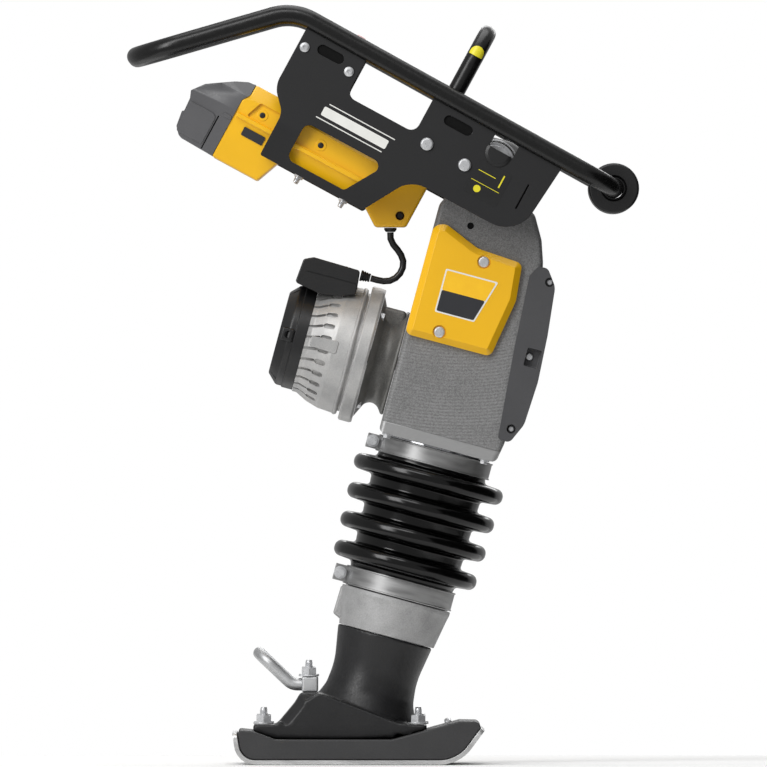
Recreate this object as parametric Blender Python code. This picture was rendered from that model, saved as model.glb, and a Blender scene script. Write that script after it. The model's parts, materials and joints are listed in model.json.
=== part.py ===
"""Battery trench rammer: crankcase, motor, sprung leg, shoe, guide handle and battery.

Sizes are in millimetres and MM turns them into metres. +X is the front of the machine, +Z is up,
and the origin is the centre of the sole's flat underside. Three local frames carry the pieces:
the leg frame lies on the leg's axis, the handle frame on the handle's rocking axis, and the foot
frame is the world frame. In a local frame x is forward, y is across and z is up.
"""

import math

import bmesh
import bpy
from mathutils import Matrix, Vector

MM = 0.001
GAP = 0.3  # between pieces that touch
RUNNING = 0.6  # round a shaft that turns
SEGMENTS = 24

# The two tilted frames
LEG_TILT = math.radians(15.0)
LEG_DATUM = Vector((114.9, 0.0, 414.9))
HANDLE_TILT = math.radians(28.5)
PIVOT_FORWARD = -24.9
PIVOT_HEIGHT = 401.7

# Shoe and sole
SHOE_WIDTH = 280.0
SOLE_THICK = 6.0
SOLE_REAR = -157.5
SOLE_FRONT = 148.5
SOLE_REAR_TOP = 43.0
TOE_REACH = 34.0
TOE_HEIGHT = 46.0
REAR_RADIUS = 28.0
TOE_RADIUS = 50.0
CASTING_WIDTH = 190.0
SEAT_HEIGHT = 54.0  # top of the casting's lugs
EYE_HALF = 55.0  # from the middle to a hoop eye
EYE_TOP = 118.0
EYE_REAR = -64.0
EYE_FRONT = -42.0
HOOP_BAR_RADIUS = 8.0
STUD_RADIUS = 5.0
NUT_RADIUS = 11.0
NUT_HEIGHT = 12.0

# Leg
SLEEVE_TOP = -165.0
SLEEVE_BOTTOM = -251.0
SLEEVE_BORE = 60.0
SLEEVE_SHOULDER = 75.0
SLEEVE_FOOT = 66.0
CYLINDER_RADIUS = 50.0
CYLINDER_WALL = 5.0
CYLINDER_TOP = -40.0
CYLINDER_BOTTOM = -330.0
GUIDE_WALL = 7.6
GUIDE_BOTTOM = -150.0
PISTON_TOP = -178.0
PISTON_THICK = 22.0
ROD_RADIUS = 11.0
SPRING_WIRE = 5.0
SPRING_TURNS = 5.0

# Bellows and its clamps
BELLOWS_WALL = 3.4
UPPER_SPIGOT = 71.0
LOWER_SPIGOT = 67.5
CLAMP_WALL = 3.2
LOBE_TOPS = (-32.0, -72.0, -112.0, -152.0)
LOBE_RADII = (103.5, 102.0, 101.0, 99.0)
VALLEY_RADII = (75.0, 73.0, 71.0)
LOBE_HALF = 7.0

# Crankcase
CASE_WIDTH = 190.0
CASE_WALL = 10.0
GEAR_ROOM = 6.25  # between the gear's teeth and the case's side walls
CASE_REAR = -81.5
CASE_BOTTOM = 12.5
NECK_WIDTH = 120.0
NECK_RADIUS = 33.0
REAR_WALL = 15.5
COVER_THICK = 14.0
GUARD_LAP = 5.0  # the guard stands out beyond the case's sides

# Crank drive
CRANK_HEIGHT = 199.5
CRANK_THROW = 26.0
ROD_LENGTH = 130.0
GEAR_TEETH = 61
PINION_TEETH = 13
MODULE = (CASE_WIDTH / 2 - CASE_WALL - GEAR_ROOM) / (GEAR_TEETH / 2 + 1)
MOTOR_HEIGHT = CRANK_HEIGHT - MODULE * (GEAR_TEETH + PINION_TEETH) / 2
GEAR_REAR = -60.0
GEAR_THICK = 22.0
CRANK_SHAFT = 15.0
CRANK_PIN = 9.0
WRIST_PIN = 6.0
ROD_THICK = 18.0
CROSSHEAD_RADIUS = 28.0
CROSSHEAD_BELOW = 33.0
CROSSHEAD_ABOVE = 16.0
COLLAR_WALL = 7.5
COLLAR_TOP = 112.0

# Motor
SHAFT_RADIUS = 9.0
BEARING_OUTER = 26.0
BEARING_THICK = 12.0
ADAPTER_FRONT = -81.8
ADAPTER_LENGTH = 38.4
FLANGE_RADIUS = 93.0
FLANGE_THICK = 19.0
DRUM_FRONT = -142.6
DRUM_LENGTH = 66.0
DRUM_FRONT_RADIUS = 88.0
DRUM_REAR_RADIUS = 72.0
DRUM_BORE = 62.0
FAN_COVER_LENGTH = 36.7
FAN_COVER_RADIUS = 70.5
BOOT_HEIGHT = MOTOR_HEIGHT + FLANGE_RADIUS + 9.5  # the cable passes over the flange
BOOT_REAR = -159.5
BOOT_FRONT = -146.0

# Handle
TUBE_RADIUS = 12.7
TUBE_HALF_SPAN = 150.0
TUBE_HEIGHT = 51.5
TUBE_FALL = 0.0086
BEND_PLACE = -335.0
BEND_RADIUS = 70.0
REAR_BAR = -491.5
REAR_BAR_HEIGHT = -103.5
REAR_CORNER = 60.0
FRONT_BAR = 158.0
FRONT_CORNER = 50.0
ROLLER_RADIUS = 34.0
ROLLER_HALF = TUBE_HALF_SPAN - FRONT_CORNER - 2.0
PLATE_THICK = 4.0
PLATE_BEND_HEIGHT = -97.5
PLATE_BEND = math.radians(20.0)
HOOP_RADIUS = 11.5
HOOP_PLACE = -91.0
HOOP_TOP = 149.0
HOOP_HALF_SPAN = TUBE_HALF_SPAN - 32.0
MOUNT_REACH = TUBE_HALF_SPAN - 15.0
HOUSING_HALF = TUBE_HALF_SPAN - 12.0
HOUSING_WALL = 5.0
HOUSING_BOTTOM = -173.0
HOUSING_TOP = -60.5
CONSOLE_TOP = 26.0
HOUSING_JOINT = -338.0
PLUG_DEPTH = 60.0
CABLE_RADIUS = 4.5
CABLE_SIDE = -30.0
DRAWN_BOOT_HEIGHT = 209.5  # where the cable's hand-chosen places end


# Helpers ------------------------------------------------------------------------------------


def clear_scene():
    for obj in list(bpy.data.objects):
        bpy.data.objects.remove(obj, do_unlink=True)


def make_material(name, colour, roughness, metallic):
    material = bpy.data.materials.new(name)
    material.use_nodes = True
    shader = material.node_tree.nodes["Principled BSDF"]
    shader.inputs["Base Color"].default_value = (*colour, 1.0)
    shader.inputs["Roughness"].default_value = roughness
    shader.inputs["Metallic"].default_value = metallic
    return material


def make_frame(name, place, tilt, parent=None):
    """An empty whose x axis points forward and down by the tilt."""
    frame = bpy.data.objects.new(name, None)
    bpy.context.collection.objects.link(frame)
    frame.location = place * MM
    frame.rotation_euler = (0.0, tilt, 0.0)
    frame.parent = parent
    return frame


def finish(name, bm, material, frame, smooth=True):
    """Turn a bmesh in millimetres into a named object under its frame."""
    bmesh.ops.recalc_face_normals(bm, faces=bm.faces)
    bmesh.ops.scale(bm, vec=(MM, MM, MM), verts=bm.verts)
    mesh = bpy.data.meshes.new(name)
    bm.to_mesh(mesh)
    bm.free()
    if smooth:
        mesh.shade_smooth()
        mesh.set_sharp_from_angle(angle=math.radians(35.0))
    mesh.materials.append(material)
    obj = bpy.data.objects.new(name, mesh)
    bpy.context.collection.objects.link(obj)
    obj.parent = frame
    return obj


def combine(obj, other, operation):
    """Cut or join another object, which then stays behind as a hidden guide."""
    modifier = obj.modifiers.new(operation.title(), "BOOLEAN")
    modifier.operation = operation
    modifier.solver = "EXACT"
    modifier.object = other
    other.hide_render = True
    other.display_type = "WIRE"
    return obj


def round_corners(corners, steps=3, closed=True):
    """Points through corners given as (point, radius), with an arc of that radius in each."""
    count = len(corners)
    points = []
    for i, (corner, radius) in enumerate(corners):
        is_end = not closed and i in (0, count - 1)
        if radius <= 0.0 or is_end:
            points.append(corner.copy())
            continue
        to_last = (corners[i - 1][0] - corner).normalized()
        to_next = (corners[(i + 1) % count][0] - corner).normalized()
        half = to_last.angle(to_next) / 2.0
        reach = radius / math.tan(half)
        centre = corner + (to_last + to_next).normalized() * (radius / math.sin(half))
        start = corner + to_last * reach - centre
        end = corner + to_next * reach - centre
        sweep = start.angle(end)
        for step in range(steps + 1):
            part = step / steps
            first = math.sin((1.0 - part) * sweep) / math.sin(sweep)
            second = math.sin(part * sweep) / math.sin(sweep)
            points.append(centre + start * first + end * second)
    return points


def outline(corners, steps=3):
    """A closed outline in x and z from (x, z) or (x, z, corner radius) entries."""
    entries = [(Vector((c[0], 0.0, c[1])), c[2] if len(c) > 2 else 0.0) for c in corners]
    return round_corners(entries, steps)


def extrude_outline(points, low, high):
    """A solid between two y values; the outline lies in x and z."""
    bm = bmesh.new()
    near = [bm.verts.new((p.x, low, p.z)) for p in points]
    far = [bm.verts.new((p.x, high, p.z)) for p in points]
    bm.faces.new(near)
    bm.faces.new(far)
    for i in range(len(points)):
        j = (i + 1) % len(points)
        bm.faces.new((near[i], near[j], far[j], far[i]))
    bmesh.ops.recalc_face_normals(bm, faces=bm.faces)
    return bm


def box(low, high):
    bm = bmesh.new()
    bmesh.ops.create_cube(bm, size=1.0)
    size = [b - a for a, b in zip(low, high)]
    middle = [(a + b) / 2.0 for a, b in zip(low, high)]
    bmesh.ops.scale(bm, vec=size, verts=bm.verts)
    bmesh.ops.translate(bm, vec=middle, verts=bm.verts)
    return bm


def turned(profile, axis="Z", centre=(0.0, 0.0, 0.0), segments=SEGMENTS):
    """Revolve (radius, height) points; the height runs along the axis from the centre.

    A profile that starts and ends on the axis makes a solid, and any other one makes a ring.
    """
    bm = bmesh.new()
    rings = []
    for radius, height in profile:
        if radius == 0.0:
            rings.append([bm.verts.new((0.0, 0.0, height))])
            continue
        ring = []
        for k in range(segments):
            angle = math.tau * k / segments
            ring.append(bm.verts.new((radius * math.cos(angle), radius * math.sin(angle), height)))
        rings.append(ring)
    pairs = list(zip(rings, rings[1:]))
    if len(rings[0]) > 1:
        pairs.append((rings[-1], rings[0]))
    for lower, upper in pairs:
        for k in range(segments):
            n = (k + 1) % segments
            if len(lower) == 1 and len(upper) > 1:
                bm.faces.new((lower[0], upper[n], upper[k]))
            elif len(upper) == 1 and len(lower) > 1:
                bm.faces.new((lower[k], lower[n], upper[0]))
            elif len(lower) > 1:
                bm.faces.new((lower[k], lower[n], upper[n], upper[k]))
    turns = {"Z": Matrix(), "X": Matrix.Rotation(math.pi / 2, 4, "Y")}
    turns["Y"] = Matrix.Rotation(-math.pi / 2, 4, "X")
    bmesh.ops.transform(bm, matrix=Matrix.Translation(centre) @ turns[axis], verts=bm.verts)
    bmesh.ops.recalc_face_normals(bm, faces=bm.faces)
    return bm


def ring(outer, inner, low, high, axis="Z", centre=(0.0, 0.0, 0.0), segments=SEGMENTS):
    return turned(
        [(outer, low), (outer, high), (inner, high), (inner, low)], axis, centre, segments
    )


def rod(radius, low, high, axis="Z", centre=(0.0, 0.0, 0.0), segments=SEGMENTS):
    return turned([(0.0, low), (radius, low), (radius, high), (0.0, high)], axis, centre, segments)


def bevel_sides(bm, width, steps=1, normal_axis=1):
    """Bevel the edges where an extruded solid's end faces meet its sides."""
    edges = []
    for edge in bm.edges:
        ends = [f for f in edge.link_faces if abs(f.normal[normal_axis]) > 0.9]
        if len(ends) == 1:
            edges.append(edge)
    bmesh.ops.bevel(
        bm,
        geom=edges,
        offset=width,
        offset_type="OFFSET",
        segments=steps,
        profile=0.5,
        affect="EDGES",
        material=-1,
        clamp_overlap=True,
    )
    return bm


def shape_width(bm, stations):
    """Scale the y of a solid of half width 1 by (height, half width) stations."""
    for height, _ in stations:
        geometry = bm.verts[:] + bm.edges[:] + bm.faces[:]
        bmesh.ops.bisect_plane(
            bm, geom=geometry, dist=0.0001, plane_co=(0.0, 0.0, height), plane_no=(0.0, 0.0, 1.0)
        )
    for vert in bm.verts:
        vert.co.y *= width_at(vert.co.z, stations)
    return bm


def width_at(height, stations):
    if height <= stations[0][0]:
        return stations[0][1]
    for (low, narrow), (high, wide) in zip(stations, stations[1:]):
        if height <= high:
            return narrow + (wide - narrow) * (height - low) / (high - low)
    return stations[-1][1]


def bar(name, points, radius, material, frame, closed=False, resolution=2):
    """A round bar along a path, as a curve with filled caps."""
    curve = bpy.data.curves.new(name, "CURVE")
    curve.dimensions = "3D"
    curve.bevel_depth = radius * MM
    curve.bevel_resolution = resolution
    curve.use_fill_caps = True
    spline = curve.splines.new("POLY")
    spline.points.add(len(points) - 1)
    for target, point in zip(spline.points, points):
        target.co = (*(point * MM), 1.0)
    spline.use_cyclic_u = closed
    spline.use_smooth = True
    curve.materials.append(material)
    obj = bpy.data.objects.new(name, curve)
    bpy.context.collection.objects.link(obj)
    obj.parent = frame
    return obj


def make_solid(obj):
    """Turn a curve object into a mesh object of the same name, so that it can be joined."""
    depsgraph = bpy.context.evaluated_depsgraph_get()
    mesh = bpy.data.meshes.new_from_object(obj.evaluated_get(depsgraph))
    material, frame, name = obj.data.materials[0], obj.parent, obj.name
    bpy.data.objects.remove(obj, do_unlink=True)
    bm = bmesh.new()
    bm.from_mesh(mesh)
    bmesh.ops.remove_doubles(bm, verts=bm.verts, dist=0.00001)
    bmesh.ops.scale(bm, vec=(1.0 / MM, 1.0 / MM, 1.0 / MM), verts=bm.verts)
    return finish(name, bm, material, frame)


def smooth_route(points, spacing):
    """A Catmull-Rom curve through hand-chosen points, sampled at an even spacing."""
    padded = [points[0] * 2 - points[1], *points, points[-1] * 2 - points[-2]]
    fine = []
    for a, b, c, d in zip(padded, padded[1:], padded[2:], padded[3:]):
        for step in range(12):
            t = step / 12
            fine.append(
                0.5 * (2 * b + (c - a) * t + (2 * a - 5 * b + 4 * c - d) * t * t
                       + (3 * b - a - 3 * c + d) * t * t * t)
            )
    fine.append(points[-1].copy())
    length = sum((q - p).length for p, q in zip(fine, fine[1:]))
    count = max(2, round(length / spacing))
    route, walked, target = [fine[0]], 0.0, length / count
    for p, q in zip(fine, fine[1:]):
        step = (q - p).length
        while walked + step >= target - 1e-6 and len(route) < count:
            route.append(p.lerp(q, (target - walked) / step))
            target += length / count
        walked += step
    route.append(fine[-1])
    return route


def toothed_outline(teeth, module, centre_height):
    """A gear's outline in y and z: four points for each tooth, narrowed a little for backlash."""
    root = module * (teeth / 2.0 - 1.25)
    tip = module * (teeth / 2.0 + 1.0)
    points = []
    for tooth in range(teeth):
        middle = math.tau * tooth / teeth
        for radius, share in ((root, -0.29), (tip, -0.10), (tip, 0.10), (root, 0.29)):
            angle = middle + share * math.tau / teeth
            points.append(
                Vector((0.0, radius * math.sin(angle), centre_height + radius * math.cos(angle)))
            )
    return points


def extrude_across(points, low, high):
    """A solid between two x values; the outline lies in y and z."""
    bm = bmesh.new()
    near = [bm.verts.new((low, p.y, p.z)) for p in points]
    far = [bm.verts.new((high, p.y, p.z)) for p in points]
    bm.faces.new(near)
    bm.faces.new(far)
    for i in range(len(points)):
        j = (i + 1) % len(points)
        bm.faces.new((near[i], near[j], far[j], far[i]))
    bmesh.ops.recalc_face_normals(bm, faces=bm.faces)
    return bm


# Shoe and foot ------------------------------------------------------------------------------


def shoe_top():
    """The upper face of the shoe under the foot casting, rear to front."""
    return [(-129.5, 45.0, 8.0), (-99.5, 34.0, 12.0), (57.5, 34.0, 30.0), (104.5, 47.0, 40.0)]


def sole_path(inset):
    """The sole plate's section, moved inwards from its outer face."""
    corners = [
        (SOLE_REAR + inset, SOLE_REAR_TOP, 0.0),
        (SOLE_REAR + 6.0 + inset, inset, REAR_RADIUS - inset),
        (SOLE_FRONT - inset * 0.5, inset, TOE_RADIUS - inset),
        (SOLE_FRONT + TOE_REACH - inset * 0.8, TOE_HEIGHT + inset * 0.6, 0.0),
    ]
    entries = [(Vector((c[0], 0.0, c[1])), c[2]) for c in corners]
    return round_corners(entries, steps=5, closed=False)


def make_sole_plate(material):
    outer = sole_path(0.0)
    inner = sole_path(SOLE_THICK)
    points = outer + inner[::-1]
    return finish(
        "sole_plate", extrude_outline(points, -SHOE_WIDTH / 2, SHOE_WIDTH / 2), material, None
    )


def make_shoe_body(material):
    bottom = sole_path(SOLE_THICK + GAP)[1:-1]
    top = [(SOLE_FRONT + 28.5, 52.0, 4.0), (SOLE_FRONT + 26.0, 59.0, 3.0), (148.5, 59.0, 6.0)]
    top += shoe_top()[::-1]
    top += [(-148.5, 47.0, 2.0), (-151.0, 44.0, 0.0)]
    points = bottom + outline_open(top)
    half = SHOE_WIDTH / 2 - 2.0
    return finish("shoe_body", extrude_outline(points, -half, half), material, None)


def outline_open(corners):
    entries = [(Vector((c[0], 0.0, c[1])), c[2]) for c in corners]
    return round_corners(entries, closed=False)


def make_foot_casting(material, leg):
    """The foot: a lugged base with a sloping flange, joined to the lower leg."""
    rear, low_rear, low_front, front = [(x, z + GAP, radius) for x, z, radius in shoe_top()]
    base = [(rear[0], rear[1], 2.0), low_rear, low_front, (front[0], front[1], 2.0)]
    base += [(104.5, SEAT_HEIGHT, 3.0), (81.0, SEAT_HEIGHT, 2.0), (79.0, 60.0, 2.0)]
    base += [(-40.5, 96.0, 6.0), (-66.0, 96.0, 5.0), (-69.5, 88.0, 5.0), (-97.5, 58.0, 4.0)]
    base += [(-102.5, SEAT_HEIGHT, 2.0), (-129.5, SEAT_HEIGHT, 3.0)]
    half = CASTING_WIDTH / 2
    foot = finish("foot_casting", extrude_outline(outline(base, 2), -half, half), material, None)
    column = [(0.0, CYLINDER_BOTTOM - 35.0), (68.0, CYLINDER_BOTTOM - 22.0)]
    column += [(60.0, CYLINDER_BOTTOM - 4.0), (58.0, -300.0)]
    column += [(SLEEVE_FOOT, SLEEVE_BOTTOM - GAP), (0.0, SLEEVE_BOTTOM - GAP)]
    combine(foot, finish("foot_column_guide", turned(column), material, leg), "UNION")
    bore = rod(CYLINDER_RADIUS + GAP, CYLINDER_BOTTOM - GAP, SLEEVE_BOTTOM + 20.0)
    return combine(foot, finish("foot_bore_cutter", bore, material, leg), "DIFFERENCE")


def make_rear_hoop(material):
    """The lifting hoop behind the foot: two legs and a bar across, with eyes on the studs."""
    bar_end = Vector((-121.5, 0.0, 149.0))
    knee = Vector((-77.0, 0.0, 107.0))
    corners = []
    for side in (-1, 1):
        across = Vector((0.0, side * EYE_HALF, 0.0))
        leg_points = [
            (Vector((-55.0, 0.0, 107.0)) + across, 0.0),
            (knee + across, 18.0),
            (bar_end + across, 24.0),
        ]
        corners += leg_points if side < 0 else leg_points[::-1]
    points = round_corners(corners, steps=4, closed=False)
    hoop = make_solid(bar("rear_hoop", points, HOOP_BAR_RADIUS, material, None))
    for side in (-1, 1):
        middle = side * EYE_HALF
        eye = box((EYE_REAR, middle - 12.0, 96.0 + GAP), (EYE_FRONT, middle + 12.0, EYE_TOP))
        combine(hoop, finish("hoop_eye_guide", eye, material, None, False), "UNION")
    return hoop


def make_foot_studs(material):
    half = CASTING_WIDTH / 2 - 25.0
    places = [(-115.5, SEAT_HEIGHT, half), (93.0, SEAT_HEIGHT, half), (-54.5, EYE_TOP, EYE_HALF)]
    names = ("rear", "front", "middle")
    for (x, seat, across), label in zip(places, names):
        for side, side_name in ((-1, "left"), (1, "right")):
            low = seat + GAP
            top = low + NUT_HEIGHT
            profile = [(0.0, low), (NUT_RADIUS, low), (NUT_RADIUS, top), (STUD_RADIUS, top)]
            profile += [(STUD_RADIUS, top + 9.0), (0.0, top + 9.0)]
            bm = turned(profile, "Z", (x, side * across, 0.0), 6)
            finish(f"stud_{label}_{side_name}", bm, material, None, False)


# Leg ----------------------------------------------------------------------------------------


def make_leg_sleeve(material, leg):
    """Light casting over the lower leg; its spigot carries the bellows' lower end."""
    profile = [
        (SLEEVE_BORE, SLEEVE_BOTTOM),
        (SLEEVE_FOOT, SLEEVE_BOTTOM),
        (SLEEVE_SHOULDER - 2.0, -210.0),
        (SLEEVE_SHOULDER, -204.0),
        (SLEEVE_SHOULDER, -198.5),
        (LOWER_SPIGOT, -198.5),
        (LOWER_SPIGOT, SLEEVE_TOP),
        (SLEEVE_BORE, SLEEVE_TOP),
    ]
    return finish("leg_sleeve", turned(profile), material, leg)


def make_spring_cylinder(material, leg):
    inner = CYLINDER_RADIUS - CYLINDER_WALL
    floor = CYLINDER_BOTTOM + 10.0
    profile = [
        (0.0, CYLINDER_BOTTOM),
        (CYLINDER_RADIUS, CYLINDER_BOTTOM),
        (CYLINDER_RADIUS, CYLINDER_TOP),
        (inner, CYLINDER_TOP),
        (inner, floor),
        (0.0, floor),
    ]
    return finish("spring_cylinder", turned(profile), material, leg)


def make_cylinder_cap(material, leg):
    outer = CYLINDER_RADIUS - CYLINDER_WALL - GAP
    bm = ring(outer, ROD_RADIUS + RUNNING, CYLINDER_TOP - 12.0, CYLINDER_TOP)
    return finish("cylinder_cap", bm, material, leg)


def make_guide_cylinder(material, leg):
    """Fixed guide: a collar for the crosshead, a spigot for the bellows and the leg's bore."""
    bore = CYLINDER_RADIUS + GAP
    wall = bore + GUIDE_WALL
    collar = CROSSHEAD_RADIUS + GAP
    profile = [
        (collar, COLLAR_TOP),
        (collar + COLLAR_WALL, COLLAR_TOP),
        (collar + COLLAR_WALL, CASE_BOTTOM - GAP),
        (UPPER_SPIGOT, CASE_BOTTOM - GAP),
        (UPPER_SPIGOT, -15.0),
        (wall, -15.0),
        (wall, GUIDE_BOTTOM),
        (bore, GUIDE_BOTTOM),
        (bore, -4.0),
        (collar, -4.0),
    ]
    return finish("guide_cylinder", turned(profile), material, leg)


def make_bellows(material, leg):
    outer = [(UPPER_SPIGOT + BELLOWS_WALL + GAP, 10.0), (UPPER_SPIGOT + BELLOWS_WALL + GAP, -16.0)]
    for i, (middle, radius) in enumerate(zip(LOBE_TOPS, LOBE_RADII)):
        outer.append((radius, middle + LOBE_HALF))
        outer.append((radius, middle - LOBE_HALF))
        if i < len(VALLEY_RADII):
            outer.append((VALLEY_RADII[i], middle - 20.0))
    neck = LOWER_SPIGOT + BELLOWS_WALL + GAP
    outer += [(neck, -171.0), (neck, -198.0)]
    inner = [(r - BELLOWS_WALL, v) for r, v in outer]
    return finish("bellows", turned(outer + inner[::-1]), material, leg)


def make_clamp(name, material, leg, spigot, low, high):
    inner = spigot + BELLOWS_WALL + 2 * GAP
    band = finish(name, ring(inner + CLAMP_WALL, inner, low, high), material, leg)
    rear = -inner - CLAMP_WALL
    lug = box((rear - 16.0, -14.0, low + 1.5), (rear + 2.0, 14.0, high - 1.5))
    return combine(band, finish(f"{name}_lug_guide", lug, material, leg, False), "UNION")


# Crankcase and crank drive ------------------------------------------------------------------


def case_front(offset=0.0):
    """The crankcase's front edge from the bottom up, moved forward by an offset."""
    return [
        (81.5 + offset, CASE_BOTTOM, 0.0),
        (86.5 + offset, 41.0, 0.0),
        (75.5 + offset, 284.0, 0.0),
    ]


def cover_outline(inset):
    corners = [
        (CASE_REAR + inset, 149.0 + inset, 8.0),
        (38.0 - inset, 149.0 + inset, 8.0),
        (52.0 - inset, 230.0, 20.0),
        (47.0 - inset, 281.0 - inset, 8.0),
        (-16.0, 285.0 - inset, 30.0),
        (-66.0, 307.0 - inset, 10.0),
        (CASE_REAR + inset, 300.0 - inset, 10.0),
    ]
    return outline(corners, 2)


def make_crankcase(material, leg):
    half = CASE_WIDTH / 2
    body = [(CASE_REAR, CASE_BOTTOM, 0.0)] + case_front()
    body += [(64.0, 318.0, 10.0), (44.5, 352.0, 10.0), (-20.0, 362.0, 10.0)]
    body += [(-70.0, 358.0, 14.0), (CASE_REAR + 3.0, 338.0, 6.0)]
    case = finish(
        "crankcase",
        bevel_sides(extrude_outline(outline(body), -half, half), 7.0),
        material,
        leg,
    )
    neck = extrude_outline(
        outline([(-62.0, 330.0), (30.0, 330.0), (14.0, PIVOT_HEIGHT + 34.0, 34.0),
                 (-64.0, PIVOT_HEIGHT + 34.0, 34.0)]),
        -NECK_WIDTH / 2,
        NECK_WIDTH / 2,
    )
    combine(case, finish("neck_guide", neck, material, leg), "UNION")
    room = outline(
        [
            (CASE_REAR + REAR_WALL, CASE_BOTTOM + CASE_WALL, 8.0),
            (72.0, CASE_BOTTOM + CASE_WALL, 8.0),
            (70.0, 284.0, 8.0),
            (52.0, 318.0, 12.0),
            (-50.0, 340.0, 12.0),
            (CASE_REAR + REAR_WALL, 325.0, 8.0),
        ]
    )
    inner = half - CASE_WALL
    combine(
        case, finish("room_cutter", extrude_outline(room, -inner, inner), material, leg),
        "DIFFERENCE",
    )
    window = outline([(-58.0, 165.0, 8.0), (26.0, 165.0, 8.0), (34.0, 270.0, 8.0),
                      (-58.0, 280.0, 8.0)], 2)
    combine(
        case,
        finish("window_cutter", extrude_outline(window, -half - 5.0, half + 5.0), material, leg),
        "DIFFERENCE",
    )
    collar = CROSSHEAD_RADIUS + COLLAR_WALL + 2 * GAP
    combine(
        case, finish("collar_cutter", rod(collar, 0.0, 40.0), material, leg), "DIFFERENCE"
    )
    wall_bore = rod(BEARING_OUTER + GAP, CASE_REAR - 5.0, CASE_REAR + REAR_WALL + 5.0, "X",
                    (0.0, 0.0, MOTOR_HEIGHT))
    combine(case, finish("motor_bore_cutter", wall_bore, material, leg), "DIFFERENCE")
    pocket = rod(BEARING_OUTER + GAP, CASE_REAR + 5.0, CASE_REAR + REAR_WALL + 5.0, "X",
                 (0.0, 0.0, CRANK_HEIGHT))
    combine(case, finish("crank_bore_cutter", pocket, material, leg), "DIFFERENCE")
    through = rod(18.0, -half, half, "Y", (PIVOT_FORWARD, 0.0, PIVOT_HEIGHT))
    combine(case, finish("pivot_bore_cutter", through, material, leg), "DIFFERENCE")
    return case


def make_side_covers(material, leg):
    for side, label in ((-1, "left"), (1, "right")):
        near = CASE_WIDTH / 2 + GAP
        far = near + COVER_THICK
        bm = extrude_outline(cover_outline(0.0), side * near, side * far)
        inner_face = side * near
        edges = [e for e in bm.edges if all(abs(v.co.y - inner_face) > 1.0 for v in e.verts)]
        bmesh.ops.bevel(bm, geom=edges, offset=5.0, offset_type="OFFSET", segments=1, profile=0.5,
                        affect="EDGES", material=-1, clamp_overlap=True)
        cover = finish(f"side_cover_{label}", bm, material, leg)
        hollow = outline([(-72.0, 160.0), (30.0, 160.0), (40.0, 230.0), (36.0, 270.0),
                          (-16.0, 273.0), (-66.0, 294.0), (-72.0, 294.0)])
        depth = extrude_outline(hollow, side * (near - 5.0), side * (far - 5.0))
        combine(cover, finish("cover_cutter", depth, material, leg), "DIFFERENCE")


def make_front_guard(material, leg):
    half = CASE_WIDTH / 2 + GUARD_LAP
    corners = [
        (69.0, 283.0, 4.0),
        (60.5, 270.0, 6.0),
        (67.0, 168.0, 60.0),
        (76.0, 45.0, 4.0),
        (92.5, 42.0, 8.0),
        (105.5, 72.0, 20.0),
        (108.7, 132.0, 60.0),
        (105.0, 196.0, 40.0),
        (98.0, 262.0, 20.0),
        (82.0, 284.0, 10.0),
    ]
    bm = bevel_sides(extrude_outline(outline(corners, 2), -half, half), 8.0, 2)
    guard = finish("front_guard", bm, material, leg)
    lap = CASE_WIDTH / 2 + GAP
    back = [(20.0, 0.0), (82.0, 0.0)] + case_front(GAP)[1:] + [(74.0, 310.0), (20.0, 310.0)]
    cutter = extrude_outline(outline(back), -lap, lap)
    combine(guard, finish("guard_back_cutter", cutter, material, leg), "DIFFERENCE")
    for side in (-1, 1):
        near, far = sorted((side * (half - 8.0), side * (half + 10.0)))
        pocket = box((83.5, near, 149.0), (103.0, far, 174.0))
        combine(guard, finish("guard_pocket_cutter", pocket, material, leg, False), "DIFFERENCE")
    return guard


def make_crank_gear(material, leg):
    """The crank gear with its shaft; the crank pin runs on its front face."""
    front = GEAR_REAR + GEAR_THICK
    points = toothed_outline(GEAR_TEETH, MODULE, CRANK_HEIGHT)
    gear = finish("crank_gear", extrude_across(points, GEAR_REAR, front), material, leg, False)
    shaft = rod(CRANK_SHAFT, CASE_REAR + 6.0, GEAR_REAR + 4.0, "X", (0.0, 0.0, CRANK_HEIGHT))
    return combine(gear, finish("crank_shaft_guide", shaft, material, leg), "UNION")


def make_con_rod(material, leg):
    """Connecting rod between the crank pin and the wrist pin, in the y and z plane."""
    pin_height = CRANK_HEIGHT + CRANK_THROW
    wrist = pin_height - ROD_LENGTH
    big, small = 20.0, 13.0
    points = []
    for step in range(9):
        angle = math.radians(-60.0 + 300.0 * step / 8)
        points.append(Vector((0.0, big * math.cos(angle), pin_height + big * math.sin(angle))))
    for step in range(7):
        angle = math.radians(135.0 + 270.0 * step / 6)
        points.append(Vector((0.0, small * math.cos(angle), wrist + small * math.sin(angle))))
    con_rod = finish(
        "con_rod", extrude_across(points, -ROD_THICK / 2, ROD_THICK / 2), material, leg
    )
    for radius, height in ((CRANK_PIN + GAP, pin_height), (WRIST_PIN + RUNNING, wrist)):
        bore = rod(radius, -ROD_THICK, ROD_THICK, "X", (0.0, 0.0, height), 16)
        combine(con_rod, finish("rod_bore_cutter", bore, material, leg), "DIFFERENCE")
    return con_rod


def make_crank_pin(material, leg):
    front = GEAR_REAR + GEAR_THICK
    bm = rod(CRANK_PIN, front + 0.5, ROD_THICK / 2 + 3.0, "X",
             (0.0, 0.0, CRANK_HEIGHT + CRANK_THROW), 16)
    return finish("crank_pin", bm, material, leg)


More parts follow.
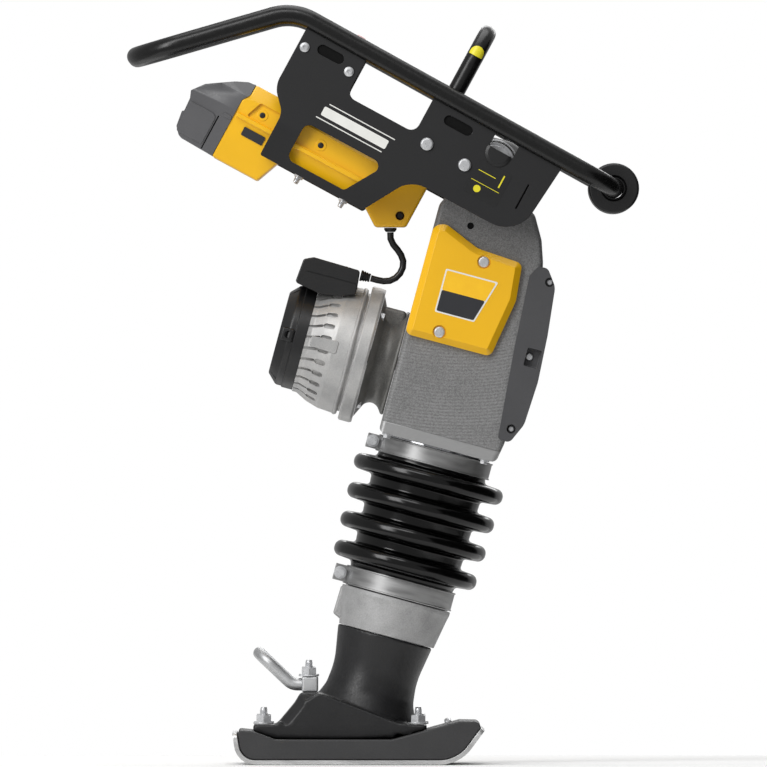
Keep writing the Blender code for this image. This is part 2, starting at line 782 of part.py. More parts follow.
def make_piston_guide(material, leg):
    """Crosshead on top of the ram piston's rod, slotted for the connecting rod."""
    wrist = CRANK_HEIGHT + CRANK_THROW - ROD_LENGTH
    bm = rod(CROSSHEAD_RADIUS, wrist - CROSSHEAD_BELOW, wrist + CROSSHEAD_ABOVE)
    guide = finish("piston_guide", bm, material, leg)
    slot_half = ROD_THICK / 2 + RUNNING
    slot = box((-slot_half, -40.0, wrist - 17.0), (slot_half, 40.0, wrist + 30.0))
    combine(guide, finish("rod_slot_cutter", slot, material, leg, False), "DIFFERENCE")
    bore = rod(WRIST_PIN + GAP, -40.0, 40.0, "X", (0.0, 0.0, wrist), 16)
    return combine(guide, finish("wrist_bore_cutter", bore, material, leg), "DIFFERENCE")


def make_wrist_pin(material, leg):
    wrist = CRANK_HEIGHT + CRANK_THROW - ROD_LENGTH
    half = CROSSHEAD_RADIUS - 3.0
    return finish("wrist_pin", rod(WRIST_PIN, -half, half, "X", (0.0, 0.0, wrist), 16),
                  material, leg)


def make_ram_piston(material, leg):
    top = CRANK_HEIGHT + CRANK_THROW - ROD_LENGTH - CROSSHEAD_BELOW - GAP
    radius = CYLINDER_RADIUS - CYLINDER_WALL - GAP
    profile = [
        (0.0, PISTON_TOP - PISTON_THICK),
        (radius, PISTON_TOP - PISTON_THICK),
        (radius, PISTON_TOP),
        (ROD_RADIUS, PISTON_TOP),
        (ROD_RADIUS, top),
        (0.0, top),
    ]
    return finish("ram_piston", turned(profile), material, leg)


def make_ram_spring(name, material, leg, low, high):
    """A helical spring whose ends stop one wire short of what they press on."""
    radius = CYLINDER_RADIUS - CYLINDER_WALL - SPRING_WIRE - 3.0
    start = low + SPRING_WIRE + 1.0
    rise = high - SPRING_WIRE - 1.0 - start
    steps = round(SPRING_TURNS * 14)
    points = []
    for step in range(steps + 1):
        part = step / steps
        angle = math.tau * SPRING_TURNS * part
        points.append(
            Vector((radius * math.cos(angle), radius * math.sin(angle), start + rise * part))
        )
    return bar(name, points, SPRING_WIRE, material, leg, resolution=1)


# Motor --------------------------------------------------------------------------------------


def on_motor_axis():
    return (0.0, 0.0, MOTOR_HEIGHT)


def make_motor_adapter(material, leg):
    rear = ADAPTER_FRONT - ADAPTER_LENGTH
    profile = [
        (BEARING_OUTER + 2.0, ADAPTER_FRONT),
        (68.0, ADAPTER_FRONT),
        (66.0, ADAPTER_FRONT - 8.0),
        (58.0, ADAPTER_FRONT - 14.0),
        (60.0, rear + 14.0),
        (84.0, rear + 3.0),
        (84.0, rear),
        (BEARING_OUTER + 2.0, rear),
    ]
    return finish("motor_adapter", turned(profile, "X", on_motor_axis()), material, leg)


def make_motor_flange(material, leg):
    front = ADAPTER_FRONT - ADAPTER_LENGTH - GAP
    rear = front - FLANGE_THICK
    profile = [
        (DRUM_BORE, front),
        (FLANGE_RADIUS - 2.0, front),
        (FLANGE_RADIUS, front - 2.0),
        (FLANGE_RADIUS, rear + 2.0),
        (FLANGE_RADIUS - 2.0, rear),
        (DRUM_BORE, rear),
    ]
    return finish("motor_flange", turned(profile, "X", on_motor_axis(), 32), material, leg)


def make_motor_housing(material, leg):
    rear = DRUM_FRONT - DRUM_LENGTH
    front_face = ADAPTER_FRONT - ADAPTER_LENGTH - 2 * GAP - FLANGE_THICK
    profile = [
        (DRUM_BORE, front_face),
        (DRUM_FRONT_RADIUS - 6.0, front_face),
        (DRUM_FRONT_RADIUS - 6.0, DRUM_FRONT),
        (DRUM_FRONT_RADIUS, DRUM_FRONT - 0.1),
        (DRUM_FRONT_RADIUS - 3.0, DRUM_FRONT - 26.0),
        (DRUM_REAR_RADIUS, rear + 10.0),
        (DRUM_REAR_RADIUS, rear),
        (DRUM_BORE, rear),
    ]
    return finish("motor_housing", turned(profile, "X", on_motor_axis(), 32), material, leg)


def make_fan_cover(material, leg):
    front = DRUM_FRONT - DRUM_LENGTH - GAP
    rear = front - FAN_COVER_LENGTH
    profile = [
        (0.0, rear),
        (FAN_COVER_RADIUS - 14.0, rear),
        (FAN_COVER_RADIUS - 1.5, rear + 13.0),
        (FAN_COVER_RADIUS - 1.5, front - 16.0),
        (FAN_COVER_RADIUS, front - 15.0),
        (FAN_COVER_RADIUS, front),
        (DRUM_BORE, front),
        (DRUM_BORE, rear + 14.0),
        (DRUM_BORE - 9.0, rear + 4.0),
        (0.0, rear + 4.0),
    ]
    return finish("fan_cover", turned(profile, "X", on_motor_axis(), 32), material, leg)


def make_motor_inside(steel, copper, leg):
    centre = on_motor_axis()
    rear = DRUM_FRONT - DRUM_LENGTH
    shaft = rod(SHAFT_RADIUS, rear - 22.0, GEAR_REAR + GEAR_THICK, "X", centre, 16)
    finish("motor_shaft", shaft, steel, leg)
    points = toothed_outline(PINION_TEETH, MODULE, MOTOR_HEIGHT)
    pinion = extrude_across(points, GEAR_REAR, GEAR_REAR + GEAR_THICK)
    toothed = finish("motor_pinion", pinion, steel, leg, False)
    bore = rod(SHAFT_RADIUS + GAP, GEAR_REAR - 5.0, GEAR_REAR + GEAR_THICK + 5.0, "X", centre, 16)
    combine(toothed, finish("pinion_bore_cutter", bore, steel, leg), "DIFFERENCE")
    core = ring(32.0, SHAFT_RADIUS + GAP, rear + 12.0, DRUM_FRONT - 8.0, "X", centre)
    finish("rotor_core", core, steel, leg)
    stator = ring(DRUM_BORE - GAP, 33.5, rear + 10.0, DRUM_FRONT - 6.0, "X", centre)
    finish("motor_stator", stator, copper, leg)
    shield = ring(DRUM_BORE - GAP, 17.0, rear, rear + 8.0, "X", centre)
    finish("rear_end_shield", shield, steel, leg)
    places = (
        ("rear_bearing", 17.0 - GAP, SHAFT_RADIUS, rear + 0.5, rear + 7.5, MOTOR_HEIGHT),
        ("front_bearing", BEARING_OUTER, SHAFT_RADIUS, CASE_REAR + 1.0,
         CASE_REAR + 1.0 + BEARING_THICK, MOTOR_HEIGHT),
        ("crank_bearing", BEARING_OUTER, CRANK_SHAFT, CASE_REAR + 5.0 + GAP,
         CASE_REAR + REAR_WALL, CRANK_HEIGHT),
    )
    for name, outer, shaft_radius, low, high, height in places:
        bm = ring(outer, shaft_radius + RUNNING, low, high, "X", (0.0, 0.0, height))
        finish(name, bm, steel, leg)


def make_cooling_fan(material, leg):
    """Paddles on a hub, inside the fan cover."""
    rear = DRUM_FRONT - DRUM_LENGTH
    points = []
    for blade in range(8):
        for radius, share in ((18.0, -0.30), (50.0, -0.12), (50.0, 0.12), (18.0, 0.30)):
            angle = math.tau * (blade + share) / 8
            points.append(
                Vector((0.0, radius * math.sin(angle), MOTOR_HEIGHT + radius * math.cos(angle)))
            )
    fan = finish("cooling_fan", extrude_across(points, rear - 18.0, rear - 6.0), material, leg)
    bore = rod(SHAFT_RADIUS + GAP, rear - 25.0, rear, "X", on_motor_axis(), 16)
    return combine(fan, finish("fan_bore_cutter", bore, material, leg), "DIFFERENCE")


def make_controller(material, leg):
    """Drive electronics in a box that saddles the motor housing."""
    section = [(-242.5, -31.5, 4.0), (-239.5, 1.5, 4.0), (-226.5, 7.5, 6.0), (-161.5, 6.0, 3.0)]
    section += [(-158.5, -26.5, 3.0), (-178.5, -34.5, 8.0), (-186.5, -38.5, 3.0)]
    section += [(-206.5, -38.5, 6.0)]
    corners = [(x, BOOT_HEIGHT + rise, radius) for x, rise, radius in section]
    bm = bevel_sides(extrude_outline(outline(corners, 2), -56.0, 56.0), 5.0)
    controller = finish("controller_box", bm, material, leg)
    rear = DRUM_FRONT - DRUM_LENGTH
    saddle = [
        (0.0, rear - 60.0),
        (FAN_COVER_RADIUS + GAP, rear - 60.0),
        (FAN_COVER_RADIUS + GAP, rear - 2 * GAP),
        (DRUM_REAR_RADIUS + GAP, rear - GAP),
        (DRUM_REAR_RADIUS + GAP, rear + 10.0),
        (DRUM_FRONT_RADIUS - 3.0 + GAP, DRUM_FRONT - 26.0),
        (DRUM_FRONT_RADIUS + GAP, DRUM_FRONT),
        (0.0, DRUM_FRONT),
    ]
    cutter = turned(saddle, "X", on_motor_axis(), 32)
    return combine(controller, finish("saddle_cutter", cutter, material, leg), "DIFFERENCE")


def make_cable_boot(material, leg):
    profile = [(0.0, BOOT_REAR), (7.5, BOOT_REAR), (7.5, -153.0), (5.5, BOOT_FRONT),
               (0.0, BOOT_FRONT)]
    centre = (0.0, CABLE_SIDE, BOOT_HEIGHT)
    return finish("cable_boot", turned(profile, "X", centre, 12), material, leg)


def make_rubber_mounts(material, leg):
    """Rubber bushes between the crankcase's neck and the handle's side plates."""
    near = NECK_WIDTH / 2 + GAP
    far = MOUNT_REACH
    for side, label in ((-1, "left"), (1, "right")):
        centre = (PIVOT_FORWARD, 0.0, PIVOT_HEIGHT)
        profile = [(0.0, side * near), (NECK_RADIUS - 3.0, side * near), (26.0, side * (near + 12.0))]
        profile += [(26.0, side * (far - 12.0)), (NECK_RADIUS - 3.0, side * far), (0.0, side * far)]
        finish(f"rubber_mount_{label}", turned(profile, "Y", centre), material, leg)


# Handle -------------------------------------------------------------------------------------


def tube_height(forward):
    """Height of the side tube's centre; the tube falls slightly towards the front."""
    return TUBE_HEIGHT - TUBE_FALL * (forward - BEND_PLACE)


def make_handle_tube(material, handle):
    corners = []
    for side in (-1, 1):
        half = side * TUBE_HALF_SPAN
        run = [
            (Vector((REAR_BAR, half, REAR_BAR_HEIGHT)), REAR_CORNER),
            (Vector((BEND_PLACE, half, tube_height(BEND_PLACE))), BEND_RADIUS),
            (Vector((FRONT_BAR, half, tube_height(FRONT_BAR))), FRONT_CORNER),
        ]
        corners += run if side < 0 else run[::-1]
    return bar("handle_tube", round_corners(corners, steps=5), TUBE_RADIUS, material, handle,
               closed=True, resolution=2)


def plate_outline():
    def under(x):
        return tube_height(x) - TUBE_RADIUS - GAP

    corners = [
        (-308.0, under(-308.0)),
        (-308.0, -50.0, 30.0),
        (-282.5, -77.0, 22.0),
        (-282.0, -140.5, 3.0),
        (-125.5, -140.5, 3.0),
        (-87.0, -73.5, 35.0),
        (74.0, -73.5, 42.0),
        (83.5, under(83.5)),
        (19.0, under(19.0)),
        (19.0, 16.5, 2.0),
        (-17.0, 16.5, 2.0),
        (-17.0, under(-17.0)),
        (-113.0, under(-113.0)),
        (-113.0, -15.5, 12.0),
        (-217.0, -15.5, 12.0),
        (-217.0, under(-217.0)),
    ]
    return outline(corners)


def bend_plate(bm):
    """Fold the plate's lower part inwards along a straight line."""
    geometry = bm.verts[:] + bm.edges[:] + bm.faces[:]
    bmesh.ops.bisect_plane(bm, geom=geometry, dist=0.0001,
                           plane_co=(0.0, 0.0, PLATE_BEND_HEIGHT), plane_no=(0.0, 0.0, 1.0))
    for vert in bm.verts:
        drop = PLATE_BEND_HEIGHT - vert.co.z
        if drop > 0.0:
            vert.co.y -= math.copysign(drop * math.tan(PLATE_BEND), vert.co.y)
    return bm


def make_side_plates(material, handle):
    window = [(-248.0, -73.0, 10.0), (-139.0, -73.0, 8.0), (-132.0, -82.0, 8.0),
              (-160.0, -128.5, 6.0), (-248.0, -128.5, 10.0)]
    slots = ((-262.5, 23.5, 39.0, 14.0), (-66.0, 21.0, 42.0, 14.0))
    for side, label in ((-1, "left"), (1, "right")):
        near = TUBE_HALF_SPAN - PLATE_THICK / 2
        far = TUBE_HALF_SPAN + PLATE_THICK / 2
        bm = bend_plate(extrude_outline(plate_outline(), side * near, side * far))
        plate = finish(f"side_plate_{label}", bm, material, handle)
        deep = extrude_outline(outline(window, 2), side * (near - 30.0), side * (far + 5.0))
        combine(plate, finish("window_cutter", deep, material, handle), "DIFFERENCE")
        for x, z, length, height in slots:
            corners = [(x + sx * length / 2, z + sz * height / 2, height / 2 - 0.1)
                       for sx, sz in ((-1, -1), (1, -1), (1, 1), (-1, 1))]
            cut = extrude_outline(outline(corners, 2), side * (near - 5.0), side * (far + 5.0))
            combine(plate, finish("slot_cutter", cut, material, handle), "DIFFERENCE")


def make_lifting_hoop(material, handle):
    corners = []
    for side in (-1, 1):
        run = [
            (Vector((HOOP_PLACE, side * HOOP_HALF_SPAN, -38.0)), 0.0),
            (Vector((HOOP_PLACE, side * HOOP_HALF_SPAN, HOOP_TOP)), 50.0),
        ]
        corners += run if side < 0 else run[::-1]
    path = round_corners(corners, steps=5, closed=False)
    hoop = make_solid(bar("lifting_hoop", path, HOOP_RADIUS, material, handle))
    outer = TUBE_HALF_SPAN - PLATE_THICK / 2 - GAP
    for side in (-1, 1):
        flat = [(-108.0, -36.0, 4.0), (-18.0, -36.0, 4.0), (-18.0, -8.0, 4.0),
                (-76.0, 6.0, 8.0), (-108.0, 6.0, 4.0)]
        foot = [(-106.0, -36.0), (-76.0, -36.0), (-76.0, 4.0), (-106.0, 4.0)]
        for shape, inner in ((flat, MOUNT_REACH + 1.0), (foot, HOOP_HALF_SPAN)):
            low, high = sorted((side * inner, side * outer))
            bracket = extrude_outline(outline(shape, 2), low, high)
            combine(hoop, finish("hoop_bracket_guide", bracket, material, handle), "UNION")
    return hoop


def housing_stations(inset):
    """Half width of the battery housing at each height, narrowed by an inset."""
    half = HOUSING_HALF - inset
    fold = math.tan(PLATE_BEND)
    return [
        (HOUSING_BOTTOM, half - (PLATE_BEND_HEIGHT - 6.0 - HOUSING_BOTTOM) * fold - 2.0),
        (PLATE_BEND_HEIGHT - 6.0, half - 2.0),
        (-80.0, half),
        (-60.0, half - 22.0),
    ]


def make_battery_housing(material, handle):
    corners = [
        (HOUSING_JOINT, HOUSING_BOTTOM, 3.0),
        (-269.0, HOUSING_BOTTOM, 3.0),
        (-254.0, -134.0, 4.0),
        (-152.0, -134.0, 4.0),
        (-127.0, -84.0, 6.0),
        (-130.0, HOUSING_TOP, 6.0),
        (HOUSING_JOINT + 7.0, HOUSING_TOP, 4.0),
        (HOUSING_JOINT + 7.0, -76.0, 4.0),
        (HOUSING_JOINT, -87.0, 4.0),
    ]
    bm = shape_width(extrude_outline(outline(corners, 2), -1.0, 1.0), housing_stations(0.0))
    housing = finish("battery_housing", bm, material, handle)
    wall = HOUSING_WALL
    room = [
        (HOUSING_JOINT - 10.0, HOUSING_BOTTOM + wall),
        (-269.0 - wall, HOUSING_BOTTOM + wall),
        (-257.0 - wall, -134.0 + wall),
        (-154.0 - wall, -134.0 + wall),
        (-132.0 - wall, -84.0),
        (-135.0 - wall, HOUSING_TOP - wall),
        (HOUSING_JOINT - 10.0, HOUSING_TOP - wall),
    ]
    inner = shape_width(extrude_outline(outline(room), -1.0, 1.0), housing_stations(wall))
    return combine(housing, finish("room_cutter", inner, material, handle), "DIFFERENCE")


def make_battery(material, handle):
    """Battery pack: its rear half shows behind the housing and its front half plugs in."""
    corners = [
        (HOUSING_JOINT - GAP, -172.0, 0.0),
        (-390.0, -170.5, 8.0),
        (-399.5, -160.0, 4.0),
        (-402.5, -138.5, 2.0),
        (-400.0, -137.0, 2.0),
        (-401.0, -118.5, 3.0),
        (-405.0, -108.5, 2.0),
        (-392.0, -92.0, 3.0),
        (-358.0, -69.5, 30.0),
        (HOUSING_JOINT - 4.0, -62.0, 4.0),
        (HOUSING_JOINT + 6.5, HOUSING_TOP, 0.0),
        (HOUSING_JOINT + 6.5, -76.5, 0.0),
        (HOUSING_JOINT - GAP, -87.5, 0.0),
    ]
    bm = shape_width(extrude_outline(outline(corners, 2), -1.0, 1.0), housing_stations(0.0))
    battery = finish("battery_pack", bm, material, handle)
    inset = HOUSING_WALL + 1.5
    plug = [
        (HOUSING_JOINT - 12.0, HOUSING_BOTTOM + inset),
        (HOUSING_JOINT + PLUG_DEPTH, HOUSING_BOTTOM + inset),
        (HOUSING_JOINT + PLUG_DEPTH, HOUSING_TOP - inset),
        (HOUSING_JOINT - 12.0, HOUSING_TOP - inset - 3.0),
    ]
    inner = shape_width(extrude_outline(outline(plug), -1.0, 1.0), housing_stations(inset))
    combine(battery, finish("plug_guide", inner, material, handle), "UNION")
    return battery


def make_cable_outlet(material, handle):
    """Cable outlet block under the front of the plates; its lower edge lies level."""
    corners = [
        (-124.0, -84.0, 0.0),
        (-126.0, -134.0, 3.0),
        (-99.7, -151.9, 5.0),
        (-63.0, -132.0, 4.0),
        (-63.0, -64.0, 4.0),
        (-124.0, -64.0, 4.0),
    ]
    bm = bevel_sides(extrude_outline(outline(corners, 2), -62.0, 62.0), 5.0)
    return finish("cable_outlet_block", bm, material, handle)


def make_console(plate_material, red, green, handle):
    """Switch console between the side plates' rear ears, with a stop and a start button."""
    half = TUBE_HALF_SPAN - PLATE_THICK / 2 - GAP
    corners = [(-305.0, 0.0, 4.0), (-222.0, 0.0, 4.0), (-222.0, CONSOLE_TOP, 6.0),
               (-305.0, CONSOLE_TOP, 6.0)]
    console = finish("console", extrude_outline(outline(corners, 2), -half, half),
                     plate_material, handle)
    places = (("stop_button", red, -70.0, 14.0, 65.0), ("start_button", green, 40.0, 11.0, 44.0))
    for name, material, across, radius, top in places:
        stem = radius - 4.0
        centre = (-238.0, across, 0.0)
        well = rod(stem + RUNNING, 10.0, 40.0, "Z", centre, 16)
        combine(console, finish(f"{name}_cutter", well, plate_material, handle), "DIFFERENCE")
        low = CONSOLE_TOP + 6.0
        profile = [(0.0, 16.0), (stem, 16.0), (stem, low), (radius, low), (radius, top - 4.0),
                   (radius - 4.0, top), (0.0, top)]
        finish(name, turned(profile, "Z", centre, 16), material, handle)


def make_roller(material, handle):
    bore = TUBE_RADIUS + 0.8
    centre = (FRONT_BAR, 0.0, tube_height(FRONT_BAR))
    profile = [
        (ROLLER_RADIUS - 3.0, -ROLLER_HALF),
        (ROLLER_RADIUS, -ROLLER_HALF + 3.0),
        (ROLLER_RADIUS, ROLLER_HALF - 3.0),
        (ROLLER_RADIUS - 3.0, ROLLER_HALF),
        (bore, ROLLER_HALF),
        (bore, -ROLLER_HALF),
    ]
    return finish("front_roller", turned(profile, "Y", centre), material, handle)


def make_cable(gland_material, cable_material):
    """Cable from the outlet block's gland down to the boot of the controller box.

    Its places are chosen by hand for one height of the boot, and follow the boot from there.
    """
    profile = [(0.0, 717.0), (6.0, 717.0), (8.5, 720.0), (8.5, 722.6), (0.0, 722.6)]
    gland = turned(profile, "Z", (55.4, CABLE_SIDE, 0.0), 12)
    finish("cable_gland", gland, gland_material, None)
    places = ((55.4, 716.6), (55.6, 708.0), (60.0, 699.0), (67.5, 690.0), (72.5, 679.0),
              (71.8, 668.0), (66.0, 658.0), (57.0, 652.0), (47.5, 650.6), (38.0, 652.2),
              (28.8, 654.7))
    rise = Vector((0.0, 0.0, BOOT_HEIGHT - DRAWN_BOOT_HEIGHT))
    rise.rotate(Matrix.Rotation(LEG_TILT, 3, "Y"))
    held, free = 1, len(places) - 4  # the first stay with the gland, the last with the boot
    route = [Vector((x, CABLE_SIDE, z)) + rise * min(1.0, max(0.0, (i - held) / (free - held)))
             for i, (x, z) in enumerate(places)]
    bar("power_cable", smooth_route(route, 2 * CABLE_RADIUS), CABLE_RADIUS, cable_material, None)


def main():
    clear_scene()
    black = make_material("powder_black", (0.03, 0.03, 0.03), 0.6, 0.0)
    gloss = make_material("gloss_black", (0.01, 0.01, 0.01), 0.25, 0.0)
    yellow = make_material("yellow", (1.0, 0.55, 0.04), 0.4, 0.0)
    grey = make_material("battery_grey", (0.12, 0.12, 0.12), 0.5, 0.0)
    cast = make_material("cast_grey", (0.2, 0.2, 0.2), 0.5, 0.3)
    light_cast = make_material("light_cast", (0.45, 0.45, 0.45), 0.5, 0.3)
    dark_cast = make_material("dark_cast", (0.03, 0.03, 0.03), 0.5, 0.2)
    steel = make_material("steel", (0.6, 0.6, 0.6), 0.3, 1.0)
    rubber = make_material("rubber", (0.01, 0.01, 0.01), 0.45, 0.0)
    copper = make_material("winding", (0.5, 0.2, 0.05), 0.4, 0.6)
    red = make_material("red", (0.6, 0.01, 0.01), 0.4, 0.0)
    green = make_material("green", (0.02, 0.3, 0.05), 0.4, 0.0)
    shoe_grey = make_material("shoe_grey", (0.06, 0.06, 0.06), 0.6, 0.0)

    leg = make_frame("leg_frame", LEG_DATUM, LEG_TILT)
    pivot = Vector((PIVOT_FORWARD, 0.0, PIVOT_HEIGHT))
    pivot_world = LEG_DATUM + Matrix.Rotation(LEG_TILT, 3, "Y") @ pivot
    handle = make_frame("handle_frame", pivot_world, HANDLE_TILT)

    make_sole_plate(steel)
    make_shoe_body(shoe_grey)
    make_foot_casting(dark_cast, leg)
    make_rear_hoop(gloss)
    make_foot_studs(steel)

    make_leg_sleeve(light_cast, leg)
    make_spring_cylinder(steel, leg)
    make_cylinder_cap(steel, leg)
    make_guide_cylinder(steel, leg)
    make_bellows(rubber, leg)
    make_clamp("upper_clamp", steel, leg, UPPER_SPIGOT, -13.0, 9.5)
    make_clamp("lower_clamp", steel, leg, LOWER_SPIGOT, -197.0, -172.0)
    cap_under = CYLINDER_TOP - 12.0
    piston_under = PISTON_TOP - PISTON_THICK
    make_ram_spring("upper_ram_spring", steel, leg, PISTON_TOP, cap_under)
    make_ram_spring("lower_ram_spring", steel, leg, CYLINDER_BOTTOM + 10.0, piston_under)

    make_crankcase(cast, leg)
    make_side_covers(yellow, leg)
    make_front_guard(grey, leg)
    make_crank_gear(steel, leg)
    make_con_rod(cast, leg)
    make_crank_pin(steel, leg)
    make_piston_guide(steel, leg)
    make_wrist_pin(steel, leg)
    make_ram_piston(steel, leg)
    make_rubber_mounts(rubber, leg)

    make_motor_adapter(dark_cast, leg)
    make_motor_flange(steel, leg)
    make_motor_housing(light_cast, leg)
    make_fan_cover(gloss, leg)
    make_motor_inside(steel, copper, leg)
    make_cooling_fan(black, leg)
    make_controller(black, leg)
    make_cable_boot(rubber, leg)

    make_handle_tube(gloss, handle)
    make_side_plates(black, handle)
    make_lifting_hoop(gloss, handle)
    make_battery_housing(yellow, handle)
    make_battery(grey, handle)
    make_cable_outlet(yellow, handle)
    make_console(black, red, green, handle)
    make_roller(black, handle)
    make_cable(black, rubber)


main()
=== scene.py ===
"""Visual pieces and finishes of a battery trench rammer, built round its CAD frame.

Lengths are in millimetres inside three local frames, whose x is forward, y across and z up: the
leg frame lies on the leg's axis, the handle frame on the handle's rocking axis, and the ground
frame on the middle of the sole.
"""

import json
import math

import bmesh
import bpy
from bpy.props import FloatProperty, FloatVectorProperty, IntProperty, PointerProperty
from bpy.types import Operator, Panel, PropertyGroup
from mathutils import Matrix, Vector


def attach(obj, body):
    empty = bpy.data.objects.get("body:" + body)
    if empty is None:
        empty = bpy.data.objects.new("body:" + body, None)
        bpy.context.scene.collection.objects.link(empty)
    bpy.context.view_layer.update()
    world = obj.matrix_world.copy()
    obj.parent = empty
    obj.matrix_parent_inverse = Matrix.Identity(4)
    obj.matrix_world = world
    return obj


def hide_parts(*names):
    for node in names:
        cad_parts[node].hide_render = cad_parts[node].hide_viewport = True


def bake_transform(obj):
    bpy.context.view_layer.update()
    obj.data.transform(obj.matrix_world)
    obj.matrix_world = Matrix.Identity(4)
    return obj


bl_info = {
    "name": "Trench Rammer Finish",
    "version": (1, 0, 0),
    "blender": (4, 5, 0),
    "location": "View3D > Sidebar > Rammer",
    "description": "Builds the visual pieces and finishes of a battery trench rammer",
    "category": "Object",
}

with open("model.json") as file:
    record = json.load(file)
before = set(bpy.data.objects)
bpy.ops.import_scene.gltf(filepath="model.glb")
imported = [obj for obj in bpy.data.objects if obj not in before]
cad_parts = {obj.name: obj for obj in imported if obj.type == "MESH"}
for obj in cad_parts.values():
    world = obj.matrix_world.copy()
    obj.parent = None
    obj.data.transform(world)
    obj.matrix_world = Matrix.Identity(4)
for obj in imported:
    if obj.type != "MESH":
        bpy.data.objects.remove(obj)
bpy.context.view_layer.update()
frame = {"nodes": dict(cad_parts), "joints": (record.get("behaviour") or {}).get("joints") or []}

# Frames and driving sizes ---------------------------------------------------------------------

MM = 0.001
ACROSS = Vector((0.0, 1.0, 0.0))
CRANK_HEIGHT = 199.5  # crank axis above the leg frame's origin
MOTOR_HEIGHT = 107.0  # motor axis above the leg frame's origin


def joint_named(name):
    return next(joint for joint in frame["joints"] if joint["name"] == name)


def local_frame(origin, forward):
    """Matrix from millimetres in a local frame to metres in the row frame."""
    turn = Matrix((forward, ACROSS, forward.cross(ACROSS))).transposed().to_4x4()
    return Matrix.Translation(origin) @ turn @ Matrix.Scale(MM, 4)


LEG_UP = -Vector(joint_named("foot_stroke")["axis"])
LEG = local_frame(
    Vector(joint_named("crank_turn")["pos_m"]) - LEG_UP * CRANK_HEIGHT * MM, ACROSS.cross(LEG_UP)
)
HANDLE = local_frame(
    Vector(joint_named("handle_rock")["pos_m"]), -Vector(joint_named("battery_slide")["axis"])
)
GROUND = Matrix.Scale(MM, 4)


def span(node, place):
    """Lowest and highest corners of a CAD node in a local frame, in millimetres."""
    back = place.inverted()
    points = [back @ vert.co for vert in frame["nodes"][node].data.vertices]
    low = Vector([min(p[i] for p in points) for i in range(3)])
    high = Vector([max(p[i] for p in points) for i in range(3)])
    return low, high


CASE_LOW, CASE_HIGH = span("crankcase", LEG)
CASE_HALF = CASE_HIGH.y
PLATE_OUT = span("side_plate_right", HANDLE)[1].y
PLATE_THICK = 4.0
TUBE_SIDE = PLATE_OUT - PLATE_THICK / 2
TUBE_RADIUS = 12.7
SIDES = ((-1, "left"), (1, "right"))


# Settings -------------------------------------------------------------------------------------


def linear(code):
    """Linear RGB of an sRGB hex value."""
    shares = [int(code[i : i + 2], 16) / 255.0 for i in (0, 2, 4)]
    return [s / 12.92 if s <= 0.04045 else ((s + 0.055) / 1.055) ** 2.4 for s in shares]


def colour(name, description, code):
    return FloatVectorProperty(
        name=name, description=description, default=linear(code), subtype="COLOR", size=3,
        min=0.0, max=1.0,
    )


class RammerColours(PropertyGroup):
    """Colours of the painted, moulded and cast pieces."""

    yellow: colour("Housing Yellow", "Moulded covers, battery housing and cable outlet", "F2B90C")
    plate: colour("Plate Black", "Powder coat on the side plates and console", "1F1F20")
    tube: colour("Tube Black", "Enamel on the handle tube and lifting hoop", "0E0E0E")
    case: colour("Crankcase Grey", "Textured paint on the crankcase", "7B7B7B")
    guard: colour("Guard Grey", "Moulded front guard", "464648")
    battery: colour("Battery Grey", "Moulded battery pack", "59595B")
    shoe: colour("Shoe Grey", "Moulded shoe body", "313132")
    foot: colour("Foot Black", "Paint on the foot casting", "232324")


class RammerSizes(PropertyGroup):
    """Sizes and counts of the details, in millimetres."""

    edge: FloatProperty(name="Edge Radius", description="Rounding of moulded edges, mm",
                        default=2.0, min=0.2, max=6.0)
    slots: IntProperty(name="Cooling Slots", description="Slots round the motor drum",
                       default=30, min=8, max=60)
    lobe: FloatProperty(name="Bellows Lobe", description="Thickness of a bellows lobe, mm",
                        default=20.0, min=8.0, max=26.0)
    tube_sides: IntProperty(name="Tube Sides", description="Facets round the handle tube",
                            default=40, min=12, max=96)


# Mesh helpers ---------------------------------------------------------------------------------


def wire(bm, corners, closed=True, steps=5):
    """Edges through (x, z) or (x, z, radius) corners at y 0, each corner bevelled to its radius."""
    points = [Vector((c[0], 0.0, c[1])) for c in corners]
    verts = [bm.verts.new(p) for p in points]
    count = len(points)
    for i in range(count if closed else count - 1):
        bm.edges.new((verts[i], verts[(i + 1) % count]))
    for i, corner in enumerate(corners):
        if len(corner) < 3 or (not closed and i in (0, count - 1)):
            continue
        to_next = points[(i + 1) % count] - points[i]
        half = (points[i - 1] - points[i]).angle(to_next) / 2.0
        bmesh.ops.bevel(
            bm, geom=[verts[i]], offset=corner[2] / math.tan(half), offset_type="OFFSET",
            segments=steps, profile=0.5, affect="VERTICES", material=-1,
        )


def moved(bm, vec):
    bmesh.ops.translate(bm, vec=vec, verts=bm.verts)
    return bm


def grown_verts(grown):
    return [item for item in grown["geom"] if isinstance(item, bmesh.types.BMVert)]


def slab(corners, low, high, steps=5):
    """A solid between two y values, with its outline in x and z."""
    bm = bmesh.new()
    wire(bm, corners, steps=steps)
    bmesh.ops.contextual_create(bm, geom=bm.edges[:])
    grown = bmesh.ops.extrude_face_region(bm, geom=bm.faces[:])
    bmesh.ops.translate(bm, vec=(0.0, high - low, 0.0), verts=grown_verts(grown))
    bmesh.ops.recalc_face_normals(bm, faces=bm.faces)
    return moved(bm, (0.0, low, 0.0))


def rectangle(x0, x1, z0, z1, radius=0.0):
    return [(x0, z0, radius), (x1, z0, radius), (x1, z1, radius), (x0, z1, radius)]


def block(low, high):
    """A box between two corners, in any order."""
    bm = bmesh.new()
    bmesh.ops.create_cube(bm, size=1.0)
    bmesh.ops.scale(bm, vec=[abs(b - a) for a, b in zip(low, high)], verts=bm.verts)
    return moved(bm, [(a + b) / 2.0 for a, b in zip(low, high)])


